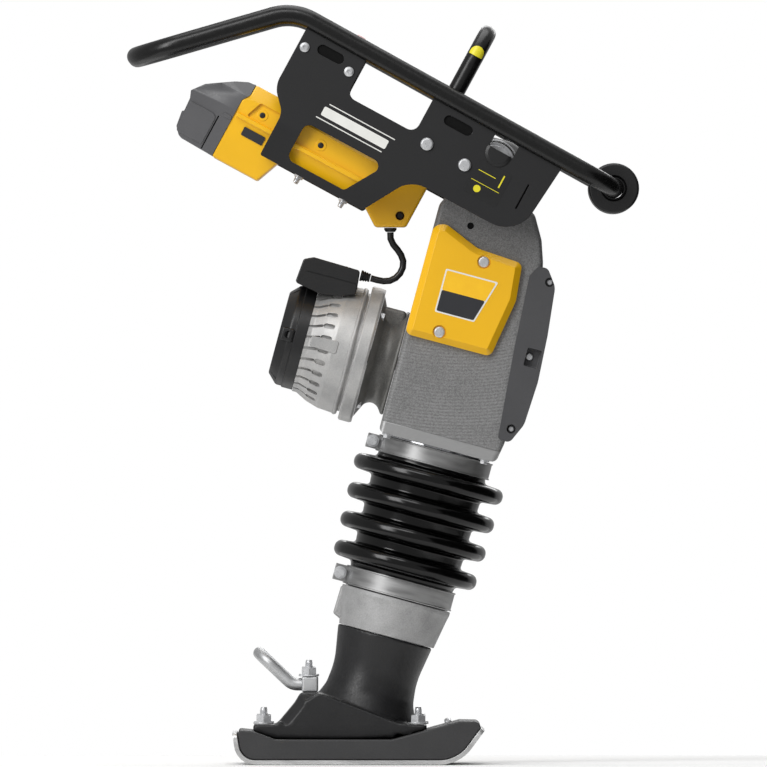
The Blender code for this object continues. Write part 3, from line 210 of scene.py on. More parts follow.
TURNS = {
    "Z": Matrix(),
    "X": Matrix.Rotation(math.pi / 2, 4, "Y"),
    "Y": Matrix.Rotation(-math.pi / 2, 4, "X"),
}


def turned(profile, axis="Z", centre=(0.0, 0.0, 0.0), segments=72, closed=False, steps=4):
    """Spin (radius, height) or (radius, height, rounding) points round an axis."""
    bm = bmesh.new()
    wire(bm, profile, closed, steps)
    bmesh.ops.spin(
        bm, geom=bm.verts[:] + bm.edges[:], cent=(0, 0, 0), axis=(0, 0, 1), dvec=(0, 0, 0),
        angle=math.tau, steps=segments, use_merge=True,
    )
    bmesh.ops.remove_doubles(bm, verts=bm.verts, dist=0.0005)
    bmesh.ops.recalc_face_normals(bm, faces=bm.faces)
    bmesh.ops.transform(bm, matrix=Matrix.Translation(centre) @ TURNS[axis], verts=bm.verts)
    return bm


def pin(radius, near, far, axis="Z", centre=(0.0, 0.0, 0.0), segments=72):
    """A solid round pin between two places on its axis."""
    return turned([(0.0, near), (radius, near), (radius, far), (0.0, far)], axis, centre, segments)


def side_pin(side, radius, near, far, x, z, segments):
    """A pin across the machine, on one of its two sides."""
    bm = pin(radius, near, far, "Y", (x, 0.0, z), segments)
    bmesh.ops.scale(bm, vec=(1.0, side, 1.0), verts=bm.verts)
    bmesh.ops.recalc_face_normals(bm, faces=bm.faces)
    return bm


def pipe(corners, radius, sides, looped=False, bend_steps=10):
    """A round pipe through (point, bend radius) corners, extruded straight and spun in bends."""
    bm = bmesh.new()
    run = list(corners)
    if looped:
        start = (run[0][0] + run[-1][0]) / 2.0
        run = [(start, 0.0), *run, (start, 0.0)]
    here = run[0][0]
    heading = (run[1][0] - here).normalized()
    bmesh.ops.create_circle(bm, radius=radius, segments=sides)
    turn = heading.to_track_quat("Z", "Y").to_matrix().to_4x4()
    bmesh.ops.transform(bm, matrix=Matrix.Translation(here) @ turn, verts=bm.verts)
    rim = bm.edges[:]

    def push(step):
        grown = bmesh.ops.extrude_edge_only(bm, edges=rim)
        bmesh.ops.translate(bm, vec=step, verts=grown_verts(grown))
        return [item for item in grown["geom"] if isinstance(item, bmesh.types.BMEdge)
                and all(vert in set(grown_verts(grown)) for vert in item.verts)]

    for (corner, bend), (after, _) in zip(run[1:], run[2:]):
        onward = (after - corner).normalized()
        angle = heading.angle(onward)
        stop = corner - heading * bend * math.tan(angle / 2.0)
        rim = push(stop - here)
        inward = (onward - heading * heading.dot(onward)).normalized()
        verts = list({vert for edge in rim for vert in edge.verts})
        spun = bmesh.ops.spin(
            bm, geom=verts + rim, cent=stop + inward * bend, axis=heading.cross(onward),
            dvec=(0, 0, 0), angle=angle, steps=bend_steps, use_merge=False,
        )
        rim = [item for item in spun["geom_last"] if isinstance(item, bmesh.types.BMEdge)]
        here = corner + onward * bend * math.tan(angle / 2.0)
        heading = onward
    push(run[-1][0] - here)
    bmesh.ops.remove_doubles(bm, verts=bm.verts, dist=0.01)
    if not looped:
        bmesh.ops.holes_fill(bm, edges=[e for e in bm.edges if e.is_boundary], sides=0)
    bmesh.ops.recalc_face_normals(bm, faces=bm.faces)
    return bm


def ease(bm, width, segments=3, angle=35.0, keep=None):
    """Round the edges that are sharper than an angle."""
    limit = math.radians(angle)
    edges = [
        e for e in bm.edges
        if e.is_manifold and e.calc_face_angle(0.0) > limit and (keep is None or keep(e))
    ]
    bmesh.ops.bevel(
        bm, geom=edges, offset=width, offset_type="OFFSET", segments=segments, profile=0.5,
        affect="EDGES", material=-1, clamp_overlap=True,
    )
    return bm


def round_side_edges(bm, width, segments, keep):
    """Round the edges that lie in a slab's two side faces and pass a test."""
    edges = [e for e in bm.edges
             if abs((e.verts[0].co - e.verts[1].co).y) < 0.01 and keep(e)]
    bmesh.ops.bevel(bm, geom=edges, offset=width, offset_type="OFFSET", segments=segments,
                    profile=0.5, affect="EDGES", material=-1)


def lowest(edge):
    return min(vert.co.z for vert in edge.verts)


def split_level(bm, height, reach=0.0001):
    """Run an edge round a solid at a height."""
    bmesh.ops.bisect_plane(bm, geom=bm.verts[:] + bm.edges[:] + bm.faces[:], dist=reach,
                           plane_co=(0.0, 0.0, height), plane_no=(0.0, 0.0, 1.0))


def both_sides(run_on):
    """Corners that run along the left side and back along the right."""
    return [*run_on(-1), *run_on(1)[::-1]]


def temporary(bm):
    mesh = bpy.data.meshes.new("temporary")
    bm.to_mesh(mesh)
    bm.free()
    obj = bpy.data.objects.new("temporary", mesh)
    bpy.context.collection.objects.link(obj)
    return obj


def taken_back(obj):
    """The finished mesh of a temporary object, which is removed."""
    depsgraph = bpy.context.evaluated_depsgraph_get()
    mesh = bpy.data.meshes.new_from_object(obj.evaluated_get(depsgraph))
    bm = bmesh.new()
    bm.from_mesh(mesh)
    old = obj.data
    bpy.data.objects.remove(obj)
    bpy.data.meshes.remove(old)
    bpy.data.meshes.remove(mesh)
    return bm


def carve(bm, tool, operation="DIFFERENCE"):
    """Cut, join or intersect a solid with another and clean the flat faces."""
    target, cutter = temporary(bm), temporary(tool)
    modifier = target.modifiers.new("carve", "BOOLEAN")
    modifier.operation, modifier.solver, modifier.object = operation, "EXACT", cutter
    result = taken_back(target)
    bpy.data.objects.remove(cutter)
    bmesh.ops.remove_doubles(result, verts=result.verts, dist=0.005)
    bmesh.ops.dissolve_limit(
        result, angle_limit=math.radians(0.5), verts=result.verts, edges=result.edges
    )
    return result


def cast(bm, voxel, smoothing):
    """Blend a joined solid's inner corners into fillets, as a casting has them."""
    obj = temporary(bm)
    remesh = obj.modifiers.new("skin", "REMESH")
    remesh.mode, remesh.voxel_size = "VOXEL", voxel
    smooth = obj.modifiers.new("fillets", "SMOOTH")
    smooth.factor, smooth.iterations = 0.5, smoothing
    return taken_back(obj)


def gather(parts):
    """One mesh of several closed ones."""
    whole = bmesh.new()
    for part in parts:
        mesh = bpy.data.meshes.new("part")
        part.to_mesh(mesh)
        part.free()
        whole.from_mesh(mesh)
        bpy.data.meshes.remove(mesh)
    return whole


def stood(bm, point, direction=(0.0, 0.0, 1.0)):
    """Turn a piece made along z to a direction and set it at a point."""
    turn = Vector(direction).to_track_quat("Z", "Y").to_matrix().to_4x4()
    bmesh.ops.transform(bm, matrix=Matrix.Translation(point) @ turn, verts=bm.verts)
    return bm


def finish(name, bm, place, surfaces, body, replaces=(), sharp=40.0, clean=True):
    """Turn a mesh in a local frame into a named piece that rides on a body.

    Its surfaces are the name of one finish, or a list of them in the order of its faces.
    """
    if clean:
        bmesh.ops.remove_doubles(bm, verts=bm.verts, dist=0.001)
        bmesh.ops.recalc_face_normals(bm, faces=bm.faces)
    bmesh.ops.transform(bm, matrix=place, verts=bm.verts)
    mesh = bpy.data.meshes.new(name)
    bm.to_mesh(mesh)
    bm.free()
    mesh.shade_smooth()
    mesh.set_sharp_from_angle(angle=math.radians(sharp))
    for surface in surfaces if isinstance(surfaces, list) else [surfaces]:
        mesh.materials.append(finish_named(surface))
    piece = bpy.data.objects.new(name, mesh)
    bpy.context.scene.collection.objects.link(piece)
    weighted = piece.modifiers.new("even_shading", "WEIGHTED_NORMAL")
    weighted.keep_sharp = True
    if body:
        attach(piece, body)
    if replaces:
        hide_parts(*replaces)
    return piece


# Fasteners ------------------------------------------------------------------------------------


def hexagon(radius, low, high):
    """A hexagonal prism with its corners turned down at the top."""
    bm = bmesh.new()
    bmesh.ops.create_cone(bm, cap_ends=True, segments=6, radius1=radius, radius2=radius,
                          depth=high - low)
    moved(bm, (0.0, 0.0, (low + high) / 2.0))
    dome = turned([(0.0, low - 1.0), (radius + 2.0, low - 1.0), (radius + 2.0, high - 2.2),
                   (radius * 0.86, high), (0.0, high)], segments=36)
    return ease(carve(bm, dome, "INTERSECT"), 0.25, 1, 50.0)


def washer(outer, inner, thick):
    return turned([(inner, 0.0), (outer, 0.0, 0.4), (outer, thick, 0.4), (inner, thick)],
                  segments=36, closed=True, steps=2)


def hex_bolt(radius, height):
    """Bolt head on its washer, standing on z 0."""
    return gather([washer(radius * 1.3, radius * 0.5, 1.8), hexagon(radius, 1.8, 1.8 + height)])


def stud_and_nut(radius, height, stud, rise):
    """Nut on a washer with the threaded end of its stud, which is ringed by its thread."""
    end = [(0.0, 0.5), (stud, 0.5)]
    level = height + 1.5
    while level < height + rise - 2.0:
        end += [(stud, level), (stud - 0.7, level + 0.7)]
        level += 1.5
    end += [(stud - 0.9, height + rise), (0.0, height + rise)]
    return gather([
        washer(radius * 1.25, stud * 1.05, 2.0), hexagon(radius, 2.0, height),
        turned(end, segments=24),
    ])


def socket_screw(radius, height):
    """Low round head with a hexagon socket, standing on z 0."""
    head = turned([(0.0, 0.0), (radius, 0.0), (radius, height * 0.55, 0.4),
                   (radius * 0.62, height, 1.2), (0.0, height)], segments=40)
    bm = bmesh.new()
    bmesh.ops.create_cone(bm, cap_ends=True, segments=6, radius1=radius * 0.4,
                          radius2=radius * 0.4, depth=height)
    return carve(head, moved(bm, (0.0, 0.0, height)))


def domed_head(radius, height):
    """Plain domed bolt head."""
    return turned([(0.0, 0.0), (radius, 0.0), (radius, height * 0.6, 0.8),
                   (radius * 0.8, height, 1.5), (0.0, height * 1.05)], segments=40)


# Materials ------------------------------------------------------------------------------------


def add(material, kind, inputs=None, **settings):
    """Add a node with its settings; an input that is given a socket is linked to it."""
    node = material.node_tree.nodes.new("ShaderNode" + kind)
    for name, value in settings.items():
        setattr(node, name, value)
    for name, value in (inputs or {}).items():
        if isinstance(value, bpy.types.NodeSocket):
            material.node_tree.links.new(value, node.inputs[name])
        else:
            node.inputs[name].default_value = value
    return node


def link(material, source, target):
    material.node_tree.links.new(source, target)


def base_material(name, roughness, metallic=0.0, **inputs):
    """A material with its shader and the object coordinates."""
    material = bpy.data.materials.new(name)
    material.use_nodes = True
    shader = material.node_tree.nodes["Principled BSDF"]
    shader.inputs["Roughness"].default_value = roughness
    shader.inputs["Metallic"].default_value = metallic
    for key, value in inputs.items():
        shader.inputs[key.replace("_", " ")].default_value = value
    return material, shader, add(material, "TexCoord").outputs["Object"]


def per_metre(size):
    """Texture scale whose features are about this many millimetres."""
    return 1.0 / (size * MM)


def noise(material, place, size, detail=3.0, roughness=0.5):
    return add(material, "TexNoise", {"Vector": place, "Scale": per_metre(size),
                                      "Detail": detail, "Roughness": roughness}).outputs["Fac"]


def ramp(material, source, low, high, dark, light):
    """Map a source between two levels onto two values."""
    return add(material, "MapRange", {"Value": source, "From Min": low, "From Max": high,
                                      "To Min": dark, "To Max": light}).outputs["Result"]


def blend(material, share, first, second):
    """Mix two colours by a share, given as linear triples or sockets."""
    mix = add(material, "Mix", {0: share}, data_type="RGBA")
    for socket, value in ((mix.inputs[6], first), (mix.inputs[7], second)):
        if isinstance(value, bpy.types.NodeSocket):
            link(material, value, socket)
        else:
            socket.default_value = (*value, 1.0)
    return mix.outputs[2]


def shaded(tone, factor):
    return [min(1.0, channel * factor) for channel in tone]


def bump(material, shader, height, depth, strength=1.0):
    """Relief of a depth in millimetres."""
    relief = add(material, "Bump", {"Height": height, "Distance": depth * MM,
                                    "Strength": strength})
    if shader.inputs["Normal"].is_linked:
        link(material, shader.inputs["Normal"].links[0].from_socket, relief.inputs["Normal"])
    link(material, relief.outputs["Normal"], shader.inputs["Normal"])


def mottled(name, tone, roughness, metallic=0.0, patch=70.0, drift=0.14, grain=1.6, depth=0.06,
            swing=0.1, **inputs):
    """A finish whose tone drifts in patches and whose gloss and relief follow a fine grain."""
    material, shader, place = base_material(name, roughness, metallic, **inputs)
    patches = noise(material, place, patch, 4.0)
    share = ramp(material, patches, 0.3, 0.7, 0.0, 1.0)
    link(material, blend(material, share, shaded(tone, 1.0 - drift), shaded(tone, 1.0 + drift)),
         shader.inputs["Base Color"])
    fine = noise(material, place, grain, 2.0)
    rough = ramp(material, fine, 0.3, 0.7, roughness - swing, roughness + swing)
    link(material, rough, shader.inputs["Roughness"])
    bump(material, shader, fine, depth)
    return material, shader, place


def abs_yellow(tone):
    """Yellow ABS, injection moulded with a fine spark texture: soft, even gloss."""
    return mottled("abs_yellow", tone, 0.36, patch=90.0, drift=0.035, grain=1.1, depth=0.03,
                   swing=0.06, Coat_Weight=0.12, Coat_Roughness=0.2)[0]


def powder_coat(tone):
    """Black polyester powder coat on steel plate: matt, with a slight orange peel."""
    return mottled("powder_coat_black", tone, 0.56, patch=120.0, drift=0.07, grain=2.2,
                   depth=0.05, swing=0.06, Specular_IOR_Level=0.35)[0]


def tube_enamel(tone):
    """Black baked enamel on steel tube: glossy, with faint smears from hands."""
    return mottled("tube_enamel_black", tone, 0.3, patch=45.0, drift=0.2, grain=6.0, depth=0.004,
                   swing=0.06, Specular_IOR_Level=0.4)[0]


def case_paint(tone):
    """Textured grey paint on cast aluminium: a speckled skin with fine, curved ribs below."""
    material, shader, place = base_material("case_textured_paint", 0.5, 0.25)
    # The ribs are arcs round a far centre above the front; they fade out by the covers.
    about = add(material, "Mapping", {"Vector": place, "Location": (-0.15, 0.0, -0.90)})
    rows = add(material, "TexWave", {"Vector": about.outputs["Vector"], "Distortion": 1.5,
                                     "Scale": math.tau / 20.0 * per_metre(4.4),
                                     "Detail": 1.0, "Detail Scale": 0.35},
               wave_type="RINGS", rings_direction="Y")
    height = add(material, "SeparateXYZ", {"Vector": place}).outputs["Z"]
    below = ramp(material, height, 0.62, 0.55, 0.0, 1.0)
    cloud = ramp(material, noise(material, place, 55.0, 3.0), 0.4, 0.6, 0.12, 0.42)
    shown = add(material, "Math", {0: below, 1: cloud}, operation="MULTIPLY").outputs[0]
    ribs = add(material, "Math", {0: rows.outputs["Fac"], 1: shown}, operation="MULTIPLY")
    speckle = ramp(material, noise(material, place, 1.5, 2.0, 0.75), 0.36, 0.64, 0.0, 1.0)
    level = add(material, "Math", {0: ribs.outputs[0], 1: speckle}, operation="ADD")
    share = ramp(material, level.outputs[0], 0.0, 1.35, 0.0, 1.0)
    link(material, blend(material, share, shaded(tone, 0.66), shaded(tone, 1.5)),
         shader.inputs["Base Color"])
    link(material, ramp(material, speckle, 0.0, 1.0, 0.45, 0.62), shader.inputs["Roughness"])
    bump(material, shader, level.outputs[0], 0.09)
    return material


def leg_tilt():
    return math.atan2(LEG_UP.x, LEG_UP.z)


def machined_strip():
    """Milled aluminium face on the crankcase's foot: pale, with fine cutter lines."""
    material, shader, place = base_material("machined_aluminium", 0.42, 0.6)
    along = add(material, "Mapping", {"Vector": place, "Rotation": (0.0, -leg_tilt(), 0.0),
                                      "Scale": (12.0, 12.0, 500.0)})
    lines = noise(material, along.outputs["Vector"], 1000.0 / 12.0 * 0.9, 3.0)
    link(material, blend(material, lines, linear("949494"), linear("B8B8B8")),
         shader.inputs["Base Color"])
    link(material, ramp(material, lines, 0.3, 0.7, 0.35, 0.5), shader.inputs["Roughness"])
    bump(material, shader, lines, 0.02)
    return material


def sand_casting(name, dark, light, roughness, metallic):
    """Sand-cast metal: a grainy skin whose grains catch the light."""
    material, shader, place = base_material(name, roughness, metallic)
    grains = noise(material, place, 1.6, 3.0, 0.65)
    cloud = noise(material, place, 40.0, 3.0)
    level = add(material, "Math", {0: grains, 1: cloud}, operation="ADD")
    share = ramp(material, level.outputs[0], 0.7, 1.3, 0.0, 1.0)
    link(material, blend(material, share, linear(dark), linear(light)),
         shader.inputs["Base Color"])
    link(material, ramp(material, grains, 0.3, 0.7, roughness - 0.1, roughness + 0.12),
         shader.inputs["Roughness"])
    bump(material, shader, grains, 0.18)
    bump(material, shader, noise(material, place, 14.0, 2.0), 0.3)
    return material


def rolled_steel(name, dark, light, roughness, streak):
    """Rolled or drawn metal: faint streaks along the sheet, and a broad, soft reflection."""
    material, shader, place = base_material(name, roughness, 1.0)
    along = add(material, "Mapping", {"Vector": place, "Rotation": (0.0, -leg_tilt(), 0.0)})
    along = add(material, "Mapping", {"Vector": along.outputs["Vector"], "Scale": streak})
    lines = noise(material, along.outputs["Vector"], 60.0, 3.0, 0.5)
    link(material, blend(material, ramp(material, lines, 0.3, 0.7, 0.0, 1.0), linear(dark),
                         linear(light)), shader.inputs["Base Color"])
    link(material, ramp(material, lines, 0.3, 0.7, roughness - 0.07, roughness + 0.09),
         shader.inputs["Roughness"])
    bump(material, shader, lines, 0.01)
    return material


def zinc_plate():
    """Bright zinc plate on bolts and nuts: white metal with a faint mottle."""
    return mottled("zinc_plate", linear("D2D3D5"), 0.33, 0.6, patch=6.0, drift=0.12, grain=1.2,
                   depth=0.02, swing=0.08)[0]


def bellows_rubber():
    """Moulded synthetic rubber, polished by its mould: deep black with wet-looking streaks."""
    material, shader, place = mottled("bellows_rubber", linear("030303"), 0.18, patch=30.0,
                                      drift=0.3, grain=4.0, depth=0.02, swing=0.04,
                                      Specular_IOR_Level=0.38)
    bump(material, shader, noise(material, place, 55.0, 1.0), 2.5)
    return material


def painted_shade_black():
    """Dull black that paints the shade inside the plate slots and the sight hole: darker than the
    powder coat.
    """
    return mottled("painted_shade_black", linear("060606"), 0.8, patch=25.0, drift=0.2, grain=1.5,
                   depth=0.04, swing=0.06, Specular_IOR_Level=0.2)[0]


def cable_jacket():
    """Extruded PVC jacket: black and glossy, with a faint draw line."""
    return mottled("cable_jacket", linear("131313"), 0.3, patch=9.0, drift=0.25, grain=1.5,
                   depth=0.03, swing=0.06)[0]


def black_nylon():
    """Black glass-filled nylon, moulded: satin, with a fine leathery grain."""
    return mottled("black_nylon", linear("151516"), 0.42, patch=35.0, drift=0.2, grain=1.4,
                   depth=0.06, swing=0.08)[0]


def guard_nylon(tone):
    """Grey glass-filled nylon, moulded: satin and hard-wearing."""
    return mottled("guard_nylon", tone, 0.5, patch=60.0, drift=0.08, grain=1.5, depth=0.05)[0]


def battery_nylon(tone):
    """Grey glass-filled nylon of the battery case: satin with a fine mould grain."""
    return mottled("battery_nylon", tone, 0.45, patch=50.0, drift=0.07, grain=1.2, depth=0.05)[0]


def shoe_polymer(tone):
    """Moulded high-density polyethylene: waxy, with scuffs where it meets the ground."""
    material, shader, place = mottled("shoe_polymer", tone, 0.52, patch=50.0, drift=0.1,
                                      grain=2.0, depth=0.06)
    along = add(material, "Mapping", {"Vector": place, "Scale": (1.0, 1.0, 6.0)})
    scuffs = ramp(material, noise(material, along.outputs["Vector"], 18.0, 6.0, 0.7), 0.56, 0.72,
                  0.0, 1.0)
    bump(material, shader, scuffs, 0.08)
    return material


def foot_paint(tone):
    """Black paint on a sand-cast iron foot: semi-gloss over a pebbled skin."""
    material, shader, place = mottled("foot_paint", tone, 0.38, patch=30.0, drift=0.14,
                                      grain=2.4, depth=0.16, swing=0.08,
                                      Specular_IOR_Level=0.38)
    bump(material, shader, noise(material, place, 12.0, 3.0), 0.35)
    return material


def drum_metal():
    """Die-cast aluminium drum, bead blasted: pale silver with an even, satin sheen."""
    return sand_casting("drum_die_casting", "A4A4A4", "C6C5C3", 0.5, 0.6)


def copper_winding():
    """Enamelled copper wire in slots: rows of turns, with painted highlights on their crests and
    painted shade between them.
    """
    material, shader, place = base_material("copper_winding", 0.3, 0.9)
    rows = add(material, "TexWave", {"Vector": place, "Scale": per_metre(14.0)})
    # The wave blends a painted-shade copper into a painted-highlight copper across each turn.
    link(material, blend(material, rows.outputs["Fac"], linear("8A4A20"), linear("D58A4A")),
         shader.inputs["Base Color"])
    bump(material, shader, rows.outputs["Fac"], 0.3)
    return material


def print_ink(name, tone):
    """Plain printed film: flat colour with a light satin cover."""
    return mottled(name, tone, 0.4, patch=20.0, drift=0.04, grain=1.0, depth=0.01, swing=0.05)[0]


FINISHES = {}


def finish_named(name):
    """The finish for a kind of surface, made the first time that it is needed."""
    if name not in FINISHES:
        tones = bpy.context.scene.rammer_colours
        makers = {
            "yellow": lambda: abs_yellow(tones.yellow),
            "plate": lambda: powder_coat(tones.plate),
            "tube": lambda: tube_enamel(tones.tube),
            "case": lambda: case_paint(tones.case),
            "strip": machined_strip,
            "guard": lambda: guard_nylon(tones.guard),
            "battery": lambda: battery_nylon(tones.battery),
            "shoe": lambda: shoe_polymer(tones.shoe),
            "foot": lambda: foot_paint(tones.foot),
            "sleeve": lambda: sand_casting("sleeve_casting", "8C8C8C", "B9B9B9", 0.48, 0.3),
            "neck": lambda: sand_casting("neck_casting", "5A5A58", "888682", 0.42, 0.3),
            "drum": drum_metal,
            "clamp": lambda: rolled_steel("clamp_stainless", "8E8E8E", "B0B0B0", 0.42,
                                          (1.0, 1.0, 9.0)),
            "sole": lambda: rolled_steel("sole_spring_steel", "B8B8B8", "DCDCDC", 0.38,
                                         (0.4, 0.1, 4.0)),
            "galvanised": lambda: rolled_steel("hoop_galvanised", "B2B3B4", "D6D7D8", 0.5,
                                               (1.0, 1.0, 1.0)),
            "ground": lambda: rolled_steel("ground_steel", "8F9093", "C4C5C8", 0.22,
                                           (6.0, 6.0, 0.6)),
            "zinc": zinc_plate,
            "bellows": bellows_rubber,
            "cable": cable_jacket,
            "nylon": black_nylon,
            "copper": copper_winding,
            "seal": painted_shade_black,
            "red": lambda: print_ink("stop_red", linear("B5161B")),
            "green": lambda: print_ink("start_green", linear("1E7A35")),
            "label_dark": lambda: print_ink("label_dark", linear("2A2B2F")),
            "label_light": lambda: print_ink("label_light", linear("E9E9E4")),
            "label_lime": lambda: print_ink("label_lime", linear("E8DC2A")),
            "label_yellow": lambda: print_ink("label_yellow", linear("FFC41F")),
        }
        FINISHES[name] = makers[name]()
    return FINISHES[name]


# Stage and cable ------------------------------------------------------------------------------

CAMERA_AIM = Vector((0.0461, 0.0, 0.5127))
CAMERA_AWAY = 40.0  # metres, so the far side lines up with the near one
CAMERA_REACH = 200.0
VIEW_WIDTH = 1.031  # shown at the side plates, in metres
# The cable's middle line from the gland down to the boot, in metres.
CABLE_SIDE = -0.030
CABLE_RADIUS = 0.0045
CABLE_ROUTE = [
    (0.0554, 0.7166), (0.0556, 0.7080), (0.0600, 0.6990), (0.0675, 0.6900), (0.0725, 0.6790),
    (0.0718, 0.6680), (0.0660, 0.6580), (0.0570, 0.6520), (0.0475, 0.6506), (0.0380, 0.6522),
    (0.0288, 0.6547),
]
CABLE_SPACING = 0.009


# Name, place, aim, size in metres and power in watts.
STUDIO_LIGHTS = (
    ("key", (-2.0, -2.6, 2.0), (0.0, 0.0, 0.5), (1.2, 2.4), 62.0),
    ("fill", (-0.4, -2.4, 3.2), (0.0, 0.0, 0.5), (2.4, 1.0), 34.0),
    ("top", (0.2, 0.4, 3.0), (0.0, 0.0, 0.4), (2.0, 2.0), 30.0),
    ("back", (0.6, 2.8, 1.8), (0.0, 0.0, 0.5), (2.0, 1.4), 24.0),
)
ROOM_LIGHT = 0.42  # the room's share of light on the machine; the room itself is seen white


def area_light(name, place, aim, size, power):
    data = bpy.data.lights.new(name, "AREA")
    data.shape, data.size, data.size_y, data.energy = "RECTANGLE", size[0], size[1], power
    light = bpy.data.objects.new(name, data)
    bpy.context.scene.collection.objects.link(light)
    light.location = place
    light.rotation_euler = (Vector(aim) - Vector(place)).to_track_quat("-Z", "Y").to_euler()


def make_stage():
    """Camera, soft lights, white room, pale floor and a card that darkens the front's gloss."""
    scene = bpy.context.scene
    scene.view_settings.view_transform = "Standard"
    data = bpy.data.cameras.new("camera")
    data.lens = data.sensor_width * (CAMERA_AWAY - TUBE_SIDE * MM) / VIEW_WIDTH
    camera = bpy.data.objects.new("camera", data)
    scene.collection.objects.link(camera)
    camera.location = CAMERA_AIM - ACROSS * CAMERA_AWAY
    camera.rotation_euler = (math.pi / 2, 0.0, 0.0)
    data.clip_end = CAMERA_REACH
    scene.camera = camera

    world = bpy.data.worlds.new("studio")
    world.use_nodes = True
    nodes, links = world.node_tree.nodes, world.node_tree.links
    surround = nodes["Background"]
    surround.inputs["Color"].default_value = (1.0, 1.0, 1.0, 1.0)
    path = nodes.new("ShaderNodeLightPath")
    strength = nodes.new("ShaderNodeMapRange")
    strength.inputs["To Min"].default_value = ROOM_LIGHT
    strength.inputs["To Max"].default_value = 1.0
    links.new(path.outputs["Is Camera Ray"], strength.inputs["Value"])
    links.new(strength.outputs["Result"], surround.inputs["Strength"])
    scene.world = world
    for light in STUDIO_LIGHTS:
        area_light(*light)

    paper, shader, place = base_material("floor_paper", 0.9)
    tone = noise(paper, place, 400.0, 2.0)
    link(paper, blend(paper, tone, linear("FAFAF9"), linear("FFFFFF")),
         shader.inputs["Base Color"])
    flat_sheet("floor", Vector((0.0, 0.0, -0.0004)), (1.8, 1.8), (0.0, 0.0, 1.0), paper)
    felt, shader, place = base_material("card_felt", 0.95)
    nap = noise(felt, place, 3.0, 2.0)
    link(felt, blend(felt, nap, linear("0A0A0A"), linear("161616")), shader.inputs["Base Color"])
    card = flat_sheet("dark_card", Vector((1.05, -0.5, 0.6)), (2.2, 1.3), (-1.0, 0.0, 0.0), felt)
    card.visible_camera = False  # it only darkens the reflections of the front


def flat_sheet(name, centre, size, facing, material):
    """A flat sheet of paper or card that belongs to the studio."""
    bm = bmesh.new()
    bmesh.ops.create_grid(bm, x_segments=1, y_segments=1, size=0.5)
    bmesh.ops.scale(bm, vec=(*size, 1.0), verts=bm.verts)
    turn = Vector(facing).to_track_quat("Z", "Y").to_matrix().to_4x4()
    bmesh.ops.transform(bm, matrix=Matrix.Translation(centre) @ turn, verts=bm.verts)
    mesh = bpy.data.meshes.new(name)
    bm.to_mesh(mesh)
    bm.free()
    mesh.materials.append(material)
    sheet = bpy.data.objects.new(name, mesh)
    bpy.context.scene.collection.objects.link(sheet)
    return sheet


def smooth_route(points, spacing):
    """A Catmull-Rom curve through given points, at an even spacing."""
    padded = [points[0] * 2 - points[1], *points, points[-1] * 2 - points[-2]]
    fine = []
    for a, b, c, d in zip(padded, padded[1:], padded[2:], padded[3:]):
        for step in range(12):
            t = step / 12
            fine.append(
                0.5 * (2 * b + (c - a) * t + (2 * a - 5 * b + 4 * c - d) * t * t
                       + (3 * b - a - 3 * c + d) * t * t * t)
            )
    fine.append(points[-1].copy())
    length = sum((q - p).length for p, q in zip(fine, fine[1:]))
    count = max(2, round(length / spacing))
    route, walked, target = [fine[0]], 0.0, length / count
    for p, q in zip(fine, fine[1:]):
        step = (q - p).length
        while walked + step >= target - 1e-9 and len(route) < count:
            route.append(p.lerp(q, (target - walked) / step))
            target += length / count
        walked += step
    route.append(fine[-1])
    return route, length


def make_cable():
    """Power cable on its fixed route, with its gland nut and ribbed boot."""
    points = [Vector((x, CABLE_SIDE, z)) for x, z in CABLE_ROUTE]
    route, length = smooth_route(points, CABLE_SPACING)
    curve = bpy.data.curves.new("power_cable_curve", "CURVE")
    curve.dimensions, curve.bevel_depth, curve.bevel_resolution = "3D", CABLE_RADIUS, 8
    curve.use_fill_caps = True
    spline = curve.splines.new("POLY")
    spline.points.add(len(route) - 1)
    for target, point in zip(spline.points, route):
        target.co = (*point, 1.0)
    shape = bpy.data.objects.new("power_cable_shape", curve)
    bpy.context.scene.collection.objects.link(shape)
    depsgraph = bpy.context.evaluated_depsgraph_get()
    mesh = bpy.data.meshes.new_from_object(shape.evaluated_get(depsgraph))
    bpy.data.objects.remove(shape)
    bpy.data.curves.remove(curve)
    bm = bmesh.new()
    bm.from_mesh(mesh)
    bpy.data.meshes.remove(mesh)
    bmesh.ops.remove_doubles(bm, verts=bm.verts, dist=1e-6)
    bmesh.ops.recalc_face_normals(bm, faces=bm.faces)
    cable = finish("power_cable_jacket", bm, Matrix(), "cable", None,
                   ["power_cable"], clean=False)
    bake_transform(cable)

    low, high = span("cable_gland", GROUND)
    foot, top = low.z, high.z
    centre = ((low.x + high.x) / 2.0, CABLE_SIDE / MM, 0.0)
    gland = turned([(4.6, foot), (6.2, foot, 0.6), (8.4, foot + 3.0, 0.6), (8.4, top),
                    (4.6, top)], "Z", centre, 40, closed=True)
    gland = finish("cable_gland_nut", gland, GROUND, "nylon", "handle",
                   ["cable_gland"])
    low, high = span("cable_boot", LEG)
    rings = [(4.7, low.x), (7.4, low.x)]
    for i in range(3):
        at = low.x + 3.0 + 3.2 * i
        rings += [(7.4 - 0.55 * i, at), (6.2 - 0.5 * i, at + 0.5), (6.2 - 0.5 * i, at + 1.4),
                  (7.1 - 0.55 * i, at + 1.9)]
    rings += [(5.6, high.x), (4.7, high.x)]
    centre = (0.0, CABLE_SIDE / MM, (low.z + high.z) / 2.0)
    boot = finish("cable_boot_ribs", turned(rings, "X", centre, 40, closed=True), LEG,
                  "nylon", "machine", ["cable_boot"])


# Shoe and foot --------------------------------------------------------------------------------


